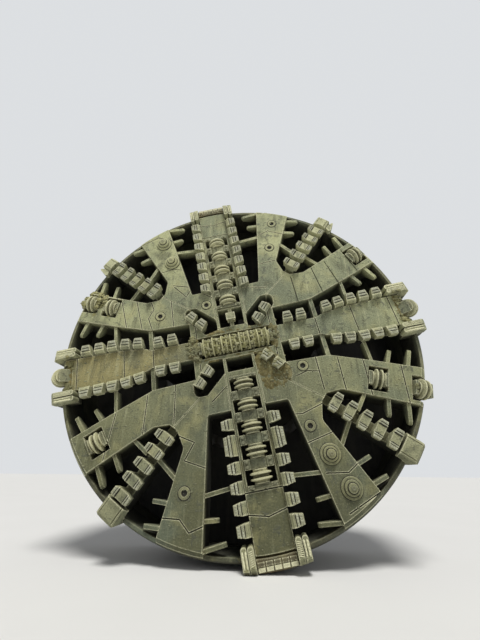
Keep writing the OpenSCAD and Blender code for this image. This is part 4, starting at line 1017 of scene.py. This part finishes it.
for u, v, spread, count, big in heaps:
    for _ in range(count):
        du, dv = dice.normal(0, spread * 0.45, 2)
        size = big * dice.uniform(0.3, 1.2)
        start = LEAN @ spot(u * R + du, v * R + dv, 0)
        hit, normal, _, _ = head_surface.ray_cast(start, Vector((0, 1, 0)), DEEPEST)
        if hit and normal.y < -0.5:
            stretched = (size * dice.uniform(0.9, 1.6), size * 0.5, size)
            lump(shape, hit - Vector((0, size * 0.1, 0)), stretched, 0.5, 3 if size > 0.03 else 2)
fit("mud_heaps", shape, mud_lumps, turn=Matrix(), smooth=True)

# Crumbs of the same dried ground are scattered over the flat faces of the plates, and stick
# where they have fallen.

CRUMBS = 1500
flats = []
for node in [*quarters, *spokes, "centre_plate"]:
    mesh = nodes[node].data
    mesh.calc_loop_triangles()
    for tri in mesh.loop_triangles:
        a, b, c = (mesh.vertices[i].co for i in tri.vertices)
        if tri.normal.y < -0.99 and abs(a.y - (FACE - REACH)) < 0.002:
            flats.append((tri.area, a, b, c))
share = np.array([flat[0] for flat in flats])
picks = dice.choice(len(flats), CRUMBS, p=share / share.sum())
shape = bmesh.new()
for pick in picks:
    _, a, b, c = flats[pick]
    s, t = dice.uniform(0, 1, 2)
    if s + t > 1:
        s, t = 1 - s, 1 - t
    place = a + (b - a) * s + (c - a) * t
    size = 0.004 + 0.016 * dice.uniform() ** 4
    stretched = (size * dice.uniform(0.8, 2.2), size * 0.4, size)
    lump(shape, Vector((place.x, place.y - WEAR, place.z)), stretched, 0.7, 2)
crumbs = dried_mud("crumbs", (0.330, 0.345, 0.205), (0.110, 0.112, 0.060), (0.110, 0.098, 0.040), 0.01,
                   0.03, rub=0.0)
fit("mud_crumbs", shape, crumbs, turn=Matrix(), smooth=True)

# Studio: a pale floor at the head's lowest point and a pale backdrop, a broad lamp high in
# front, a weaker one from each side, and the camera low down where the photograph was taken.


def stage_floor():
    finish = Finish("floor_paint")
    cloud = finish.noise(0.35, 4)
    colour = finish.blend(cloud, (0.66, 0.66, 0.65), (0.70, 0.70, 0.69))
    return finish.close(colour, 0.9, [(finish.noise(30, 3), 0.001)])


bpy.ops.mesh.primitive_plane_add(size=400, location=(0, 0, cad_box[0].z))
floor = bpy.context.object
floor.name = "floor"
floor.data.materials.append(stage_floor())

bpy.context.scene.world = bpy.data.worlds.new("studio")
sky = Finish("studio", bpy.context.scene.world)
kinds = ("Camera", "Glossy", "Transmission")
rays = [sky.node("ShaderNodeLightPath", {}, {}, f"Is {kind} Ray") for kind in kinds]
direct = sky.node("ShaderNodeMath", {"operation": "MAXIMUM"}, {0: rays[0], 1: rays[1]})
direct = sky.node("ShaderNodeMath", {"operation": "MAXIMUM"}, {0: direct, 1: rays[2]})
soft = sky.node("ShaderNodeBackground", {}, {"Color": (0.97, 0.98, 1.0), "Strength": 0.26})
backdrop = sky.node("ShaderNodeBackground", {}, {"Color": (0.72, 0.74, 0.76), "Strength": 1.0})
seen = sky.node("ShaderNodeMixShader", {}, {0: direct, 1: soft, 2: backdrop})
sky.node("ShaderNodeOutputWorld", {}, {"Surface": seen})


def lamp(name, kind, place, target, size, power, colour=(1, 1, 1)):
    data = bpy.data.lights.new(name, kind)
    data.energy, data.color = power, colour
    if kind == "SUN":
        data.angle = math.radians(size)
    else:
        data.size = size
    light = bpy.data.objects.new(name, data)
    light.location = place
    light.rotation_mode = "QUATERNION"
    light.rotation_quaternion = (Vector(target) - Vector(place)).to_track_quat("-Z", "Y")
    bpy.context.scene.collection.objects.link(light)


lamp("key", "SUN", (3.0, -17.0, 27.0), (0, -2.0, 0.0), 18, 3.1, (1.0, 0.985, 0.95))
lamp("left_fill", "AREA", (-16, -13, 6), (0, -1.5, 0), 6.0, 300)
lamp("right_fill", "AREA", (16, -13, 6), (0, -1.5, 0), 6.0, 300)

yaw, pitch, roll = (math.radians(a) for a in (4.80, 26.21, -0.47))
aim = Matrix.Rotation(yaw, 3, "Z") @ Matrix.Rotation(pitch, 3, "X") @ Matrix.Rotation(roll, 3, "Y")
right, forward, up = (aim.col[i] for i in range(3))
eye = Vector((0.671, -9.114, -2.775))
FOCAL_PIXELS = 310.2  # in a frame of 480 by 640
SENSOR = 36
lens = bpy.data.cameras.new("camera")
lens.sensor_width = SENSOR
lens.lens = FOCAL_PIXELS / 640 * SENSOR
lens.clip_start, lens.clip_end = 0.05, 500
camera = bpy.data.objects.new("camera", lens)
camera.matrix_world = Matrix((
    (right.x, up.x, -forward.x, eye.x),
    (right.y, up.y, -forward.y, eye.y),
    (right.z, up.z, -forward.z, eye.z),
    (0, 0, 0, 1),
))
bpy.context.scene.collection.objects.link(camera)
bpy.context.scene.camera = camera

bpy.context.scene.view_settings.view_transform = "Standard"
